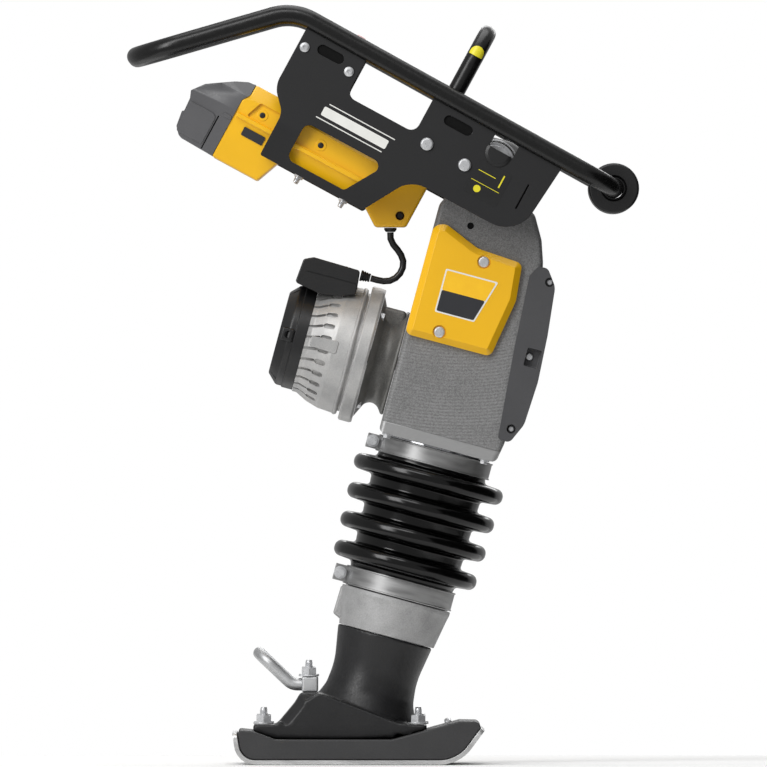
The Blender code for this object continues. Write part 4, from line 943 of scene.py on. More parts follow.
def make_sole():
    """Bent steel plate: straight under the shoe, rolled up behind and at the toe."""
    low, high = span("sole_plate", GROUND)
    thick = 6.0
    rear, front = low.x, high.x
    corners = [
        (rear, 43.0), (rear + 6.0, 0.0, 28.0), (front - 34.0, 0.0, 50.0), (front, 46.0),
        (front - 5.0, 49.6), (front - 37.0, thick, 44.0), (rear + 12.0, thick, 22.0),
        (rear + thick, 43.0),
    ]
    bm = slab(corners, low.y, high.y, 8)
    round_side_edges(bm, 9.0, 5, lambda e: e.calc_length() < thick * 1.3 and lowest(e) > 40.0)
    finish("sole_plate_bent", ease(bm, 0.9, 2), GROUND, "sole", "foot",
           ["sole_plate"])


def make_shoe():
    """Moulded shoe body between the sole plate and the foot casting, with its toe screws."""
    low, high = span("shoe_body", GROUND)
    rear, front = low.x, high.x
    corners = [
        (rear + 0.6, 42.0), (rear + 5.6, 6.4, 22.0), (front - 31.0, 6.4, 44.0),
        (front, 49.8, 4.0), (front - 2.0, 58.0, 8.0), (front - 28.5, 58.5, 8.0),
        (104.5, 46.6, 40.0), (57.5, 33.8, 30.0), (-99.5, 33.8, 12.0), (-129.5, 44.8, 8.0),
        (rear + 3.0, 46.6, 3.0),
    ]
    half = high.y
    bm = slab(corners, -half, half, 8)
    finish("shoe_body_moulded", ease(bm, 2.4, 3), GROUND, "shoe", "foot",
           ["shoe_body"])
    seat = Vector((front - 44.0, 0.0, 57.0))
    screws = [stood(socket_screw(4.6, 3.2), seat + ACROSS * y, (-0.27, 0.0, 1.0))
              for y in (-112.0, -40.0, 40.0, 112.0)]
    finish("toe_screws", gather(screws), GROUND, "zinc", "foot")


def make_foot():
    """Cast foot: a lugged base, a waist, a sloping flange and the flared lower leg."""
    foot_in_ground = GROUND.inverted() @ LEG
    half = span("foot_casting", GROUND)[1].y
    base = [(-129.5, 45.6), (-99.5, 34.6, 10.0), (57.5, 34.6, 30.0), (104.5, 47.4), (104.5, 53.4),
            (-97.5, 53.4), (-129.5, 53.4)]
    pads = slab(base, -half, half, 6)
    round_side_edges(pads, 5.0, 4, lambda e: e.calc_length() < 9.0)
    waist = [(-112.0, 40.0), (84.0, 40.0), (82.0, 54.5, 8.0), (64.0, 56.0), (-40.0, 96.0, 4.0),
             (-66.0, 95.5, 6.0), (-74.0, 82.0, 24.0), (-94.0, 58.0, 24.0)]
    body = slab(waist, -half + 0.6, half - 0.6, 5)
    round_side_edges(body, 13.0, 1, lambda e: lowest(e) > 55.5 and e.calc_length() > 0.5)
    column = turned([(0.0, -372.0), (62.0, -372.0), (70.0, -354.0, 4.0), (60.5, -332.0, 26.0),
                     (57.0, -302.0, 90.0), (65.5, -251.6), (0.0, -251.6)], "Z",
                    (-1.5, 0.0, 0.0), 96)
    bmesh.ops.transform(column, matrix=foot_in_ground, verts=column.verts)
    whole = cast(carve(carve(pads, body, "UNION"), column, "UNION"), 2.0, 6)
    bore = stood(pin(50.3, -330.0, -230.0), (0, 0, 0))
    bmesh.ops.transform(bore, matrix=foot_in_ground, verts=bore.verts)
    whole = carve(whole, bore)
    finish("foot_casting_skin", whole, GROUND, "foot", "foot",
           ["foot_casting"], sharp=55.0)


def make_rear_hoop():
    """Galvanised hoop behind the foot, with an eye block over each middle stud."""
    half = 55.0
    corners = both_sides(lambda side: [(Vector((-50.0, side * half, 107.0)), 0.0),
                                       (Vector((-77.0, side * half, 107.0)), 18.0),
                                       (Vector((-121.5, side * half, 149.0)), 24.0)])
    parts = [pipe(corners, 8.0, 28)]
    for side in (-1, 1):
        eye = block((-64.0, side * half - 12.0, 96.5), (-42.0, side * half + 12.0, 118.0))
        parts.append(ease(eye, 3.0, 3))
    finish("rear_hoop_bar", gather(parts), GROUND, "galvanised", "foot",
           ["rear_hoop"])


def make_studs():
    """Nuts on the foot's studs, each with the threaded end of its stud."""
    nut_height = 12.0
    for row in ("rear", "front", "middle"):
        for _, side in SIDES:
            node = f"stud_{row}_{side}"
            low, high = span(node, GROUND)
            centre = ((low.x + high.x) / 2.0, (low.y + high.y) / 2.0, low.z)
            rise = high.z - low.z - nut_height
            bm = stood(stud_and_nut(11.0, nut_height, 5.0, rise), centre)
            finish(f"{node}_nut", bm, GROUND, "zinc", "foot",
                   [node])


# Leg ------------------------------------------------------------------------------------------


def make_sleeve():
    """Cast sleeve over the lower leg, with a low boss behind."""
    low, high = span("leg_sleeve", LEG)
    bm = turned([(60.5, low.z), (66.0, low.z, 1.0), (73.4, -210.0, 10.0), (75.0, -204.0, 4.0),
                 (75.0, -198.6, 1.0), (67.5, -198.6), (67.5, high.z, 1.0), (60.5, high.z)],
                segments=120, closed=True)
    boss = ease(slab([(-77.5, -240.0, 4.0), (-60.0, -248.0), (-60.0, -201.0),
                      (-76.5, -201.0, 3.0)], -11.0, 11.0), 3.0, 3)
    shell = turned([(62.0, -250.0), (80.0, -250.0), (80.0, -199.0), (62.0, -199.0)],
                   segments=48, closed=True)
    boss = carve(boss, shell, "INTERSECT")
    finish("leg_sleeve_casting", gather([bm, boss]), LEG, "sleeve", "foot",
           ["leg_sleeve"])


def make_clamp(name, body, spigot):
    """Band clamp with rolled lips, two ears behind and the bolt that draws them together."""
    low, high = span(name, LEG)
    inner = spigot + 4.0
    bottom, top = low.z, high.z
    band = turned([(inner, bottom), (inner + 4.2, bottom, 0.6), (inner + 4.2, bottom + 1.6, 0.5),
                   (inner + 3.2, bottom + 2.2), (inner + 3.2, top - 2.2),
                   (inner + 4.2, top - 1.6, 0.5), (inner + 4.2, top, 0.6), (inner, top)],
                  segments=120, closed=True, steps=2)
    rear = low.x
    ears = []
    for side in (-1, 1):
        near, far = side * 3.0, side * 14.0
        ears.append(ease(block((rear, near, bottom + 1.5), (-inner - 1.0, far, top - 1.5)),
                         1.0, 2))
    middle = (rear + 8.5, 0.0, (bottom + top) / 2.0)
    finish(f"{name}_band", gather([band, *ears]), LEG, "clamp", body,
           [name])
    head = stood(hex_bolt(6.6, 4.5), Vector(middle) - ACROSS * 14.0, -ACROSS)
    nut = stood(stud_and_nut(6.6, 6.0, 3.4, 3.0), Vector(middle) + ACROSS * 14.0, ACROSS)
    shank = pin(3.4, -13.5, 13.5, "Y", middle, 20)
    finish(f"{name}_bolt", gather([head, nut, shank]), LEG, "zinc", body)


LOBES = ((-32.0, 103.5), (-72.0, 102.0), (-112.0, 101.0), (-152.0, 99.0))


def make_bellows(sizes):
    """Rubber bellows: four round lobes between deep valleys, stretched between two spigots."""
    low, high = span("bellows", LEG)
    wall = 3.2
    half = sizes.lobe / 2.0
    top, bottom = 74.6, 71.2
    outer = [(top, high.z), (top, -14.0, 3.0)]
    inner = [(top - wall, high.z), (top - wall, -14.0, 3.0)]
    for i, (level, radius) in enumerate(LOBES):
        shoulder = 76.0 - i
        crest = half - 0.1
        outer += [(shoulder, level + half + 2.5, 4.0), (radius, level + half, crest),
                  (radius, level - half, crest), (shoulder, level - half - 2.5, 4.0)]
        inner += [(shoulder - wall, level + half - 1.0, 2.0),
                  (radius - wall, level + half - wall, crest - wall),
                  (radius - wall, level - half + wall, crest - wall),
                  (shoulder - wall, level - half + 1.0, 2.0)]
    outer += [(bottom, -171.0, 3.0), (bottom, low.z)]
    inner += [(bottom - wall, -171.0, 3.0), (bottom - wall, low.z)]
    bm = turned(outer + inner[::-1], segments=160, closed=True, steps=7)
    bellows = finish("bellows_rubber", bm, LEG, "bellows", None,
                     ["bellows"], sharp=60.0)
    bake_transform(bellows)


# Crankcase ------------------------------------------------------------------------------------


def paint_faces(bm, index, chosen):
    for face in bm.faces:
        if chosen(face):
            face.material_index = index


SIGHT_HOLE = (-33.5, 0.0, 312.0)
NECK_BORE = (-24.9, 0.0, 401.7)


def make_crankcase():
    """Cast crankcase with its neck, a milled strip round its foot and a plugged sight hole."""
    low, high = CASE_LOW, CASE_HIGH
    bottom, strip = low.z, low.z + 15.5
    body = [(low.x, bottom), (81.5, bottom), (86.5, 41.0, 20.0), (75.5, 284.0, 60.0),
            (64.0, 318.0, 26.0), (44.5, 352.0, 16.0), (-20.0, 362.0, 12.0), (-66.0, 360.0, 16.0),
            (low.x, 330.0, 16.0)]
    case = slab(body, -CASE_HALF, CASE_HALF, 6)
    case = ease(case, 7.0, 4, 60.0, lambda e: max(v.co.z for v in e.verts) > bottom + 1.0
                or abs(e.verts[0].co.y - e.verts[1].co.y) > 1.0)
    neck = ease(slab([(-64.0, 320.0), (32.0, 320.0), (14.0, high.z, 33.0), (-64.0, high.z, 33.0)],
                     -60.0, 60.0, 8), 4.0, 3)
    case = carve(case, neck, "UNION")
    for side in (-1, 1):
        case = carve(case, pin(4.6, side * (CASE_HALF - 9.0), side * (CASE_HALF + 2.0), "Y",
                               SIGHT_HOLE, 32))
    groove = gather([
        block((low.x - 5.0, side * CASE_HALF, strip - 0.6),
              (100.0, side * (CASE_HALF + 5.0) - side * 5.6, strip + 0.6)) for side in (-1, 1)
    ])
    case = carve(case, groove)
    case = carve(case, pin(18.0, -CASE_HALF, CASE_HALF, "Y", NECK_BORE, 40))
    room = slab([(low.x + 8.0, bottom + 14.0), (73.0, bottom + 14.0), (77.0, 41.0), (67.0, 275.0),
                 (56.0, 298.0), (low.x + 8.0, 298.0)], -CASE_HALF + 8.0, CASE_HALF - 8.0, 3)
    case = carve(case, room)
    case = carve(case, pin(36.0, bottom - 5.0, bottom + 20.0))
    split_level(case, strip, 0.001)
    paint_faces(case, 1, lambda face: face.calc_center_median().z < strip)
    finish("crankcase_casting", case, LEG, ["case", "strip"],
           "machine", ["crankcase"])
    # The dark plugs fill the sight hole with painted shade.
    plugs = [turned([(0.0, side * (CASE_HALF - 8.8)), (4.4, side * (CASE_HALF - 8.8)),
                     (4.4, side * (CASE_HALF - 1.5)), (0.0, side * (CASE_HALF - 2.0))], "Y",
                    SIGHT_HOLE, 32) for side in (-1, 1)]
    finish("crankcase_sight_plugs", gather(plugs), LEG, "seal", "machine")
    bolts = [stood(hex_bolt(5.6, 4.2), (x, y, bottom), (0.0, 0.0, -1.0))
             for x in (-69.0, 66.0) for y in (-84.0, 84.0)]
    finish("crankcase_foot_bolts", gather(bolts), LEG, "zinc", "machine")


COVER_SCREWS = ((-3.5, 269.5), (-37.0, 163.0))


def make_side_covers(sizes):
    """Moulded covers over the crank, each with two screws and a plain two-tone label."""
    low, high = span("side_cover_right", LEG)
    near, far = low.y, high.y
    outline = [(low.x, low.z, 9.0), (38.0, low.z, 9.0), (high.x, 230.0, 24.0),
               (47.0, 281.0, 9.0), (-16.0, 285.0, 34.0), (-66.0, high.z, 12.0),
               (low.x, 300.0, 12.0)]
    for side, label in SIDES:
        skirt = 8.0
        bm = slab(outline, side * near, side * (far - skirt), 6)
        face = max(bm.faces, key=lambda f: side * f.calc_center_median().y)
        face.normal_update()
        bmesh.ops.inset_individual(bm, faces=[face], thickness=8.5, depth=skirt,
                                   use_even_offset=True)
        bmesh.ops.recalc_face_normals(bm, faces=bm.faces)
        bm = ease(bm, sizes.edge, 3, 20.0,
                  lambda e: min(side * v.co.y for v in e.verts) > near + 1.0)
        for x, z in COVER_SCREWS:
            bm = carve(bm, side_pin(side, 9.3, far - 3.2, far + 3.0, x, z, 40))
        finish(f"crank_cover_{label}", bm, LEG, "yellow", "machine",
               [f"side_cover_{label}"])
        screws = [stood(domed_head(7.4, 3.2), (x, side * (far - 3.2), z), ACROSS * side)
                  for x, z in COVER_SCREWS]
        finish(f"crank_cover_screws_{label}", gather(screws), LEG, "zinc",
               "machine")
        faces = ((label_outline(0.0), 0.0, 0.35, "label_light", "border"),
                 (label_outline(2.0, top_only=True), 0.35, 0.55, "label_yellow", "upper"),
                 (label_outline(2.0, bottom_only=True), 0.35, 0.55, "label_dark", "lower"))
        for corners, start, stop, ink, part in faces:
            film = slab(corners, side * (far + start), side * (far + stop), 3)
            finish(f"cover_label_{part}_{label}", film, LEG, ink, "machine")


def label_outline(inset, top_only=False, bottom_only=False):
    """Outline of the cover's label, or of its upper or lower field."""
    def right(level):
        return 22.5 + (level - 248.0) * 0.30 - inset * 1.1

    low, high, left, split = 188.0 + inset, 248.0 - inset, -50.5 + inset, 219.0
    if top_only:
        low = split
    if bottom_only:
        high = split
    return [(left, low, 2.0), (right(low), low, 2.0), (right(high), high, 2.0), (left, high, 2.0)]


def make_front_guard():
    """Moulded guard wrapped round the crankcase's front, with screw pockets."""
    low, high = span("front_guard", LEG)
    half = high.y
    outline = [(69.0, 283.0, 5.0), (60.5, 268.0, 8.0), (66.0, 168.0, 80.0), (76.0, 45.0, 4.0),
               (92.5, low.z, 8.0), (105.5, 72.0, 24.0), (high.x, 132.0, 70.0),
               (105.0, 196.0, 50.0), (98.0, 262.0, 20.0), (82.0, high.z, 8.0)]
    bm = slab(outline, -half, half, 6)
    bm = ease(bm, 8.0, 1, 60.0, lambda e: min(v.co.x for v in e.verts) > 77.0
              and abs(e.verts[0].co.y - e.verts[1].co.y) < 1.0)
    bm = ease(bm, 1.2, 3, 25.0)
    lap = CASE_HALF + 0.3
    back = slab([(20.0, -5.0), (82.3, -5.0), (87.0, 41.0, 20.0), (76.0, 284.0, 60.0),
                 (74.3, 320.0), (20.0, 320.0)], -lap, lap, 6)
    bm = carve(bm, back)
    screws = []
    for side in (-1, 1):
        pocket = ease(block((83.5, side * (half - 12.0), 149.0),
                            (103.0, side * (half + 8.0), 174.0)), 2.0, 3)
        bm = carve(bm, pocket)
        screws.append(stood(domed_head(5.0, 3.0), (88.5, side * (half - 12.0), 162.0),
                            ACROSS * side))
        for x, z in ((89.0, 266.0), (90.0, 62.0)):
            bm = carve(bm, side_pin(side, 6.2, half - 9.0, half + 5.0, x, z, 32))
            screws.append(stood(domed_head(4.2, 3.0), (x, side * (half - 9.0), z), ACROSS * side))
    finish("front_guard_moulded", bm, LEG, "guard", "machine",
           ["front_guard"])
    finish("front_guard_screws", gather(screws), LEG, "zinc", "machine")


# Motor ----------------------------------------------------------------------------------------

MOTOR_AXIS = (0.0, 0.0, MOTOR_HEIGHT)


def round_motor(bm, angle):
    """Turn a piece that was made above the motor's axis round that axis."""
    bmesh.ops.rotate(bm, cent=MOTOR_AXIS, matrix=Matrix.Rotation(angle, 3, "X"), verts=bm.verts)
    return bm


def make_motor_adapter():
    """Waisted cast neck between the crankcase and the motor's flange, with its bolts."""
    low, high = span("motor_adapter", LEG)
    rear, front = low.x, high.x
    bm = turned([(30.0, front), (72.0, front, 2.0), (71.0, front - 4.0, 3.0),
                 (60.0, front - 12.0, 12.0), (59.0, rear + 12.0, 12.0), (80.0, rear + 2.0, 3.0),
                 (84.0, rear), (30.0, rear)], "X", MOTOR_AXIS, 120, closed=True, steps=8)
    pad = ease(block((rear + 2.0, -34.0, MOTOR_HEIGHT + 40.0), (front - 4.0, 34.0, 178.0)), 5.0, 4)
    finish("motor_adapter_neck", gather([bm, pad]), LEG, "neck", "machine",
           ["motor_adapter"])
    bolts = []
    for side in (-1, 1):
        for angle in (42.0, 152.0):
            bolt = stood(hex_bolt(5.4, 4.6), (rear + 0.2, 0.0, MOTOR_HEIGHT + 75.0),
                         (1.0, 0.0, 0.0))
            bolts.append(round_motor(bolt, side * math.radians(angle)))
    finish("motor_adapter_bolts", gather(bolts), LEG, "zinc", "machine")


def make_motor_drum(sizes):
    """Flange ring and die-cast drum, with slots and raking slits between its cooling ribs."""
    low, high = span("motor_flange", LEG)
    bore = 62.0
    ring = turned([(bore, high.x), (91.5, high.x, 1.0), (93.0, high.x - 3.0, 1.0),
                   (93.0, low.x + 2.2, 1.0), (91.0, low.x), (bore, low.x)], "X", MOTOR_AXIS, 160,
                  closed=True)
    finish("motor_flange_ring", ring, LEG, "drum", "machine",
           ["motor_flange"])
    low, high = span("motor_housing", LEG)
    rear, front = low.x, high.x
    drum = turned([(bore, front), (82.0, front), (82.0, front - 3.0), (86.0, front - 3.4, 0.8),
                   (88.0, front - 6.0, 1.0), (88.0, front - 8.5, 1.0), (86.6, front - 9.5),
                   (85.0, front - 30.0, 8.0), (80.0, front - 47.0, 12.0), (72.0, rear + 6.0, 6.0),
                   (72.0, rear), (bore, rear)], "X", MOTOR_AXIS, 160, closed=True)
    slots, slits = [], []
    bare = {round(sizes.slots * share) for share in (0.25, 0.75)}
    for i in range(sizes.slots):
        angle = math.tau * (i + 0.5) / sizes.slots
        if i in bare or i + 1 in bare:
            continue
        slot = slab(rectangle(front - 50.0, front - 34.5, -3.6, 3.6, 3.5), 76.0, 95.0, 4)
        slit = slab(rectangle(front - 73.0, front - 50.0, -1.9, 1.9, 1.8), 69.0, 92.0, 2)
        for piece, lean in ((slot, 0.0), (slit, 0.22)):
            bmesh.ops.rotate(piece, cent=(front - 50.0, 0.0, 0.0), verts=piece.verts,
                             matrix=Matrix.Rotation(lean, 3, "Y"))
            moved(piece, MOTOR_AXIS)
            round_motor(piece, angle)
        slots.append(slot)
        slits.append(slit)
    drum = carve(drum, gather(slots))
    drum = carve(drum, gather(slits))
    ribs = []
    for side in (-1, 1):
        rib = ease(slab([(front - 62.0, MOTOR_HEIGHT - 7.0, 3.0),
                         (front - 24.0, MOTOR_HEIGHT - 9.0, 4.0),
                         (front - 24.0, MOTOR_HEIGHT + 9.0, 4.0),
                         (front - 62.0, MOTOR_HEIGHT + 7.0, 3.0)],
                        side * 74.0, side * 86.6), 1.2, 2)
        ribs.append(rib)
    finish("motor_drum", gather([drum, *ribs]), LEG, "drum", "machine",
           ["motor_housing"], sharp=35.0)


def make_fan_cover():
    """Moulded cap over the cooling fan: turned-in rear edge, side pads and air slots."""
    low, high = span("fan_cover", LEG)
    rear, front = low.x, high.x
    bm = turned([(0.0, rear), (56.0, rear, 4.0), (69.0, rear + 13.0, 6.0),
                 (69.0, front - 16.0, 0.8), (70.5, front - 15.0, 0.8), (70.5, front),
                 (62.0, front), (62.0, rear + 14.0, 4.0), (53.0, rear + 4.0, 3.0),
                 (0.0, rear + 4.0)], "X", MOTOR_AXIS, 96, steps=4)
    tools = []
    for i in range(12):
        slot = slab([(0.0, -3.0, 2.9), (24.0, -3.0, 2.9), (24.0, 3.0, 2.9), (0.0, 3.0, 2.9)],
                    -8.0, 8.0, 4)
        bmesh.ops.rotate(slot, cent=(0, 0, 0), matrix=Matrix.Rotation(math.pi / 2, 3, "Z"),
                         verts=slot.verts)
        bmesh.ops.rotate(slot, cent=(0, 0, 0), matrix=Matrix.Rotation(math.tau * i / 12, 3, "X"),
                         verts=slot.verts)
        offset = Matrix.Rotation(math.tau * i / 12, 3, "X") @ Vector((0.0, 22.0, 0.0))
        tools.append(moved(slot, Vector((rear + 2.0, 0.0, MOTOR_HEIGHT)) + offset))
    for angle in (30.0, 150.0, 210.0, 330.0):
        vent = block((rear - 1.0, -9.0, 50.0), (rear + 12.0, 9.0, 74.0))
        skin = turned([(54.0, rear - 2.0), (80.0, rear - 2.0), (80.0, rear + 13.0),
                       (67.4, rear + 13.0)], "X", segments=96, closed=True)
        vent = moved(ease(carve(vent, skin, "INTERSECT"), 0.5, 2), MOTOR_AXIS)
        tools.append(round_motor(vent, math.radians(angle)))
    bm = carve(bm, gather(tools))
    pads = []
    for side in (-1, 1):
        pad = ease(block((rear + 3.0, side * 60.0, MOTOR_HEIGHT - 9.0),
                         (rear + 20.0, side * 72.0, MOTOR_HEIGHT + 9.0)), 2.5, 3)
        pads.append(carve(pad, side_pin(side, 5.0, 66.0, 80.0, rear + 12.5, MOTOR_HEIGHT, 28)))
    finish("fan_cover_moulded", gather([bm, *pads]), LEG, "nylon", "machine",
           ["fan_cover"])


def make_controller():
    """Box of drive electronics astride the drum, with a parting groove and a lid recess."""
    low, high = span("controller_box", LEG)
    half = high.y
    corners = [(low.x, 178.0, 4.0), (low.x + 3.0, 211.0, 4.0), (-226.5, high.z, 6.0),
               (-161.5, high.z - 1.5, 4.0), (-158.5, 183.0, 4.0), (-178.5, 175.0, 8.0),
               (-206.5, 171.0, 6.0)]
    bm = ease(slab(corners, -half, half, 5), 1.8, 3, 60.0)
    tools = [block((-230.0, side * (half - 1.6), 195.6), (-150.0, side * (half + 4.0), 197.4))
             for side in (-1, 1)]
    lid = ease(block((-219.0, -half + 10.0, high.z - 2.4), (-170.0, half - 10.0, high.z + 6.0)),
               3.0, 3)
    bm = carve(bm, gather(tools + [lid]))
    saddle = turned([(0.0, -270.0), (71.0, -270.0), (71.0, -209.0), (72.5, -208.5),
                     (72.5, -199.0), (85.6, -168.0), (88.6, -150.0), (0.0, -150.0)], "X",
                    MOTOR_AXIS, 96)
    bm = carve(bm, saddle)
    ribs = [ease(block((-214.0 + 8.0 * i, -half + 14.0, high.z - 2.6),
                       (-210.5 + 8.0 * i, half - 14.0, high.z - 0.8)), 0.6, 2) for i in range(5)]
    finish("controller_box_moulded", gather([bm, *ribs]), LEG, "nylon", "machine",
           ["controller_box"])


def make_rubber_mounts():
    """Rubber bushes on the neck's sides, each between two bright plates."""
    for side, label in SIDES:
        node = f"rubber_mount_{label}"
        low, high = span(node, HANDLE)
        inner, outer = (high.y, low.y) if side < 0 else (low.y, high.y)
        lift = side * 1.0
        bush = turned([(0.0, inner + lift * 4), (31.0, inner + lift * 4, 1.0),
                       (26.0, inner + lift * 14, 8.0), (26.0, outer - lift * 16, 8.0),
                       (30.0, outer - lift * 8, 1.0), (0.0, outer - lift * 8)], "Y",
                      segments=72)
        finish(f"{node}_bush", bush, HANDLE, "bellows", "machine", [node])
        plates = []
        for start, thick, radius in ((inner, 4.0, 32.0), (outer - lift * 8, 3.0, 27.5),
                                     (outer - lift * 4, 4.0, 23.5)):
            plates.append(turned([(0.0, start), (radius, start, 0.8),
                                  (radius, start + lift * thick, 0.8),
                                  (0.0, start + lift * thick)], "Y", segments=72))
        finish(f"{node}_plates", gather(plates), HANDLE, "zinc", "machine")


# Handle ---------------------------------------------------------------------------------------

TUBE_AT_BEND, BEND_PLACE, TUBE_FALL = 51.5, -335.0, 0.0086
FRONT_BAR, REAR_BAR, REAR_BAR_HEIGHT = 158.0, -491.5, -103.5
PLATE_FOLD_HEIGHT, PLATE_FOLD = -97.5, math.radians(20.0)


def tube_height(forward):
    """Height of the side tube's middle; the tube falls slightly towards the front."""
    return TUBE_AT_BEND - TUBE_FALL * (forward - BEND_PLACE)


def make_handle_tube(sizes):
    """One bent steel tube: two side runs, the rear grip bar and the front bar."""
    corners = both_sides(lambda side: [
        (Vector((REAR_BAR, side * TUBE_SIDE, REAR_BAR_HEIGHT)), 60.0),
        (Vector((BEND_PLACE, side * TUBE_SIDE, TUBE_AT_BEND)), 70.0),
        (Vector((FRONT_BAR, side * TUBE_SIDE, tube_height(FRONT_BAR))), 50.0),
    ])
    bm = pipe(corners, TUBE_RADIUS, sizes.tube_sides, looped=True)
    finish("handle_tube_bent", bm, HANDLE, "tube", "handle",
           ["handle_tube"], sharp=60.0)


def fold_plate(bm):
    """Bend the plate's lower edge inwards along a straight line."""
    split_level(bm, PLATE_FOLD_HEIGHT)
    for vert in bm.verts:
        drop = PLATE_FOLD_HEIGHT - vert.co.z
        if drop > 0.0:
            vert.co.y -= math.copysign(drop * math.tan(PLATE_FOLD), vert.co.y)
    return bm


def plate_corners():
    def under(x):
        return tube_height(x) - TUBE_RADIUS + 1.2  # reaches the weld under the tube

    return [
        (-308.0, under(-308.0)), (-308.0, -50.0, 30.0), (-282.5, -77.0, 22.0),
        (-282.0, -140.5, 3.0), (-125.5, -140.5, 3.0), (-87.0, -73.5, 35.0),
        (74.0, -73.5, 42.0), (83.5, under(83.5)), (19.0, under(19.0)), (19.0, 16.5, 2.0),
        (-17.0, 16.5, 2.0), (-17.0, under(-17.0)), (-113.0, under(-113.0)),
        (-113.0, -15.5, 12.0), (-217.0, -15.5, 12.0), (-217.0, under(-217.0)),
    ]


# Middle of each slot, and half the sizes of its opening and of the dark insert behind it, which
# paints the shade inside the slot.
PLATE_SLOTS = (
    (-262.5, 23.5, 19.5, 7.0, 19.3, 6.8),
    (-66.0, 21.0, 21.0, 7.0, 20.8, 6.8),
    (55.0, -22.0, 1.1, 18.5, 3.0, 20.0),
)


def slot_outline(x, z, wide, tall):
    return rectangle(x - wide, x + wide, z - tall, z + tall, min(wide, tall) - 0.1)


def make_side_plates():
    """Folded side plates with their window, slots, screws, bolts, caps and plain labels."""
    window = [(-248.0, -73.0, 10.0), (-139.0, -73.0, 8.0), (-132.0, -82.0, 8.0),
              (-160.0, -128.5, 6.0), (-248.0, -128.5, 10.0)]
    ear_screws = ((-298.0, 15.0), (-230.0, 14.5))
    hoop_bolts = ((-91.5, -21.0), (-33.5, -21.5))
    near, far = TUBE_SIDE - PLATE_THICK / 2, PLATE_OUT
    for side, label in SIDES:
        bm = slab(plate_corners(), side * near, side * far, 6)
        openings = [slab(window, side * (near - 5.0), side * (far + 5.0), 5)]
        openings += [slab(slot_outline(x, z, wide, tall), side * (near - 5.0),
                          side * (far + 5.0), 5) for x, z, wide, tall, _, _ in PLATE_SLOTS]
        bm = fold_plate(ease(carve(bm, gather(openings)), 0.7, 2, 60.0))
        # Dark inserts just inside the plate fill the slots with painted shade.
        slot_shades = [slab(slot_outline(x, z, wide, tall), side * (near - 3.0),
                        side * (near + 1.4), 5) for x, z, _, _, wide, tall in PLATE_SLOTS]
        finish(f"side_plate_{label}_inserts", gather(slot_shades), HANDLE, "seal",
               "handle")
        finish(f"side_plate_{label}_folded", bm, HANDLE, "plate", "handle",
               [f"side_plate_{label}"])

        outward = ACROSS * side
        bright = [stood(socket_screw(6.6, 3.4), (x, side * far, z), outward)
                  for x, z in ear_screws]
        bright += [stood(domed_head(8.6, 4.2), (x, side * far, z), outward)
                   for x, z in hoop_bolts]
        for x in (-223.0, -155.0):
            stud = stud_and_nut(6.8, 8.5, 3.6, 8.0)
            bright.append(stood(stud, (x, side * 113.0, -134.4), (0.0, 0.0, -1.0)))
        finish(f"side_plate_{label}_screws", gather(bright), HANDLE, "zinc",
               "handle")
        cap = stood(turned([(0.0, 0.0), (18.2, 0.0), (18.2, 1.6, 0.8), (14.0, 3.2, 3.0),
                            (0.0, 3.4)], segments=64), (-1.0, side * far, 14.0), outward)
        notch = block((-30.0, side * (far - 1.0), 17.4), (30.0, side * (far + 9.0), 40.0))
        cap = carve(cap, notch)
        finish(f"side_plate_{label}_cap", cap, HANDLE, "nylon", "handle")

        films = (
            ("stripe_top", rectangle(-232.0, -132.0, -37.2, -35.8), 0.0, "label_light"),
            ("stripe_middle", rectangle(-236.0, -138.0, -54.5, -41.5, 2.0), 0.0, "label_light"),
            ("stripe_low", rectangle(-240.0, -140.0, -60.2, -58.8), 0.0, "label_light"),
            ("notice", rectangle(-20.0, 30.0, -51.5, -3.5, 3.0), 0.0, "nylon"),
            ("notice_line", rectangle(-17.0, 25.0, -33.3, -32.5), 0.3, "label_lime"),
            ("notice_dash", rectangle(-14.0, 12.0, -18.2, -17.2), 0.3, "label_lime"),
            ("notice_dot", rectangle(-9.0, 1.0, -46.5, -36.5, 4.9), 0.3, "label_lime"),
            ("notice_tick", rectangle(20.0, 22.0, -27.0, -9.0), 0.3, "label_lime"),
        )
        for part, corners, lift, ink in films:
            film = slab(corners, side * (far + lift), side * (far + lift + 0.3), 3)
            finish(f"side_plate_{label}_{part}", film, HANDLE, ink, "handle")


def make_lifting_hoop():
    """Upright hoop of steel tube on two welded brackets, with a plain half-round mark."""
    top, leg_x, radius, half = 149.0, -91.0, 11.5, 118.0
    corners = both_sides(lambda side: [(Vector((leg_x, side * half, -36.0)), 0.0),
                                       (Vector((leg_x, side * half, top)), 50.0)])
    parts = [pipe(corners, radius, 36, bend_steps=12)]
    inside = TUBE_SIDE - PLATE_THICK / 2 - 0.3
    for side, label in SIDES:
        flat = [(-108.0, -36.0, 4.0), (-18.0, -36.0, 4.0), (-18.0, -8.0, 4.0),
                (-76.0, 6.0, 8.0), (-108.0, 6.0, 4.0)]
        foot = rectangle(-106.0, -76.0, -36.0, 4.0, 3.0)
        parts.append(ease(slab(flat, side * 136.0, side * inside), 0.8, 2, 60.0))
        parts.append(ease(slab(foot, side * half, side * 137.0), 0.8, 2, 60.0))
        mark = slab([(leg_x - 9.5, 114.5), (leg_x + 9.5, 114.5), (leg_x + 9.5, 128.5, 9.3),
                     (leg_x - 9.5, 128.5, 9.3)], side * half, side * (half + radius + 4.0), 8)
        skin = turned([(radius - 0.6, 100.0), (radius + 0.3, 100.0), (radius + 0.3, 140.0),
                       (radius - 0.6, 140.0)], "Z", (leg_x, side * half, 0.0), 72, closed=True)
        finish(f"hoop_mark_{label}", carve(mark, skin, "INTERSECT"), HANDLE,
               "label_lime", "handle")
    finish("lifting_hoop_bar", gather(parts), HANDLE, "tube", "handle",
           ["lifting_hoop"])


# Battery housing, pack and outlet ---------------------------------------------------------------

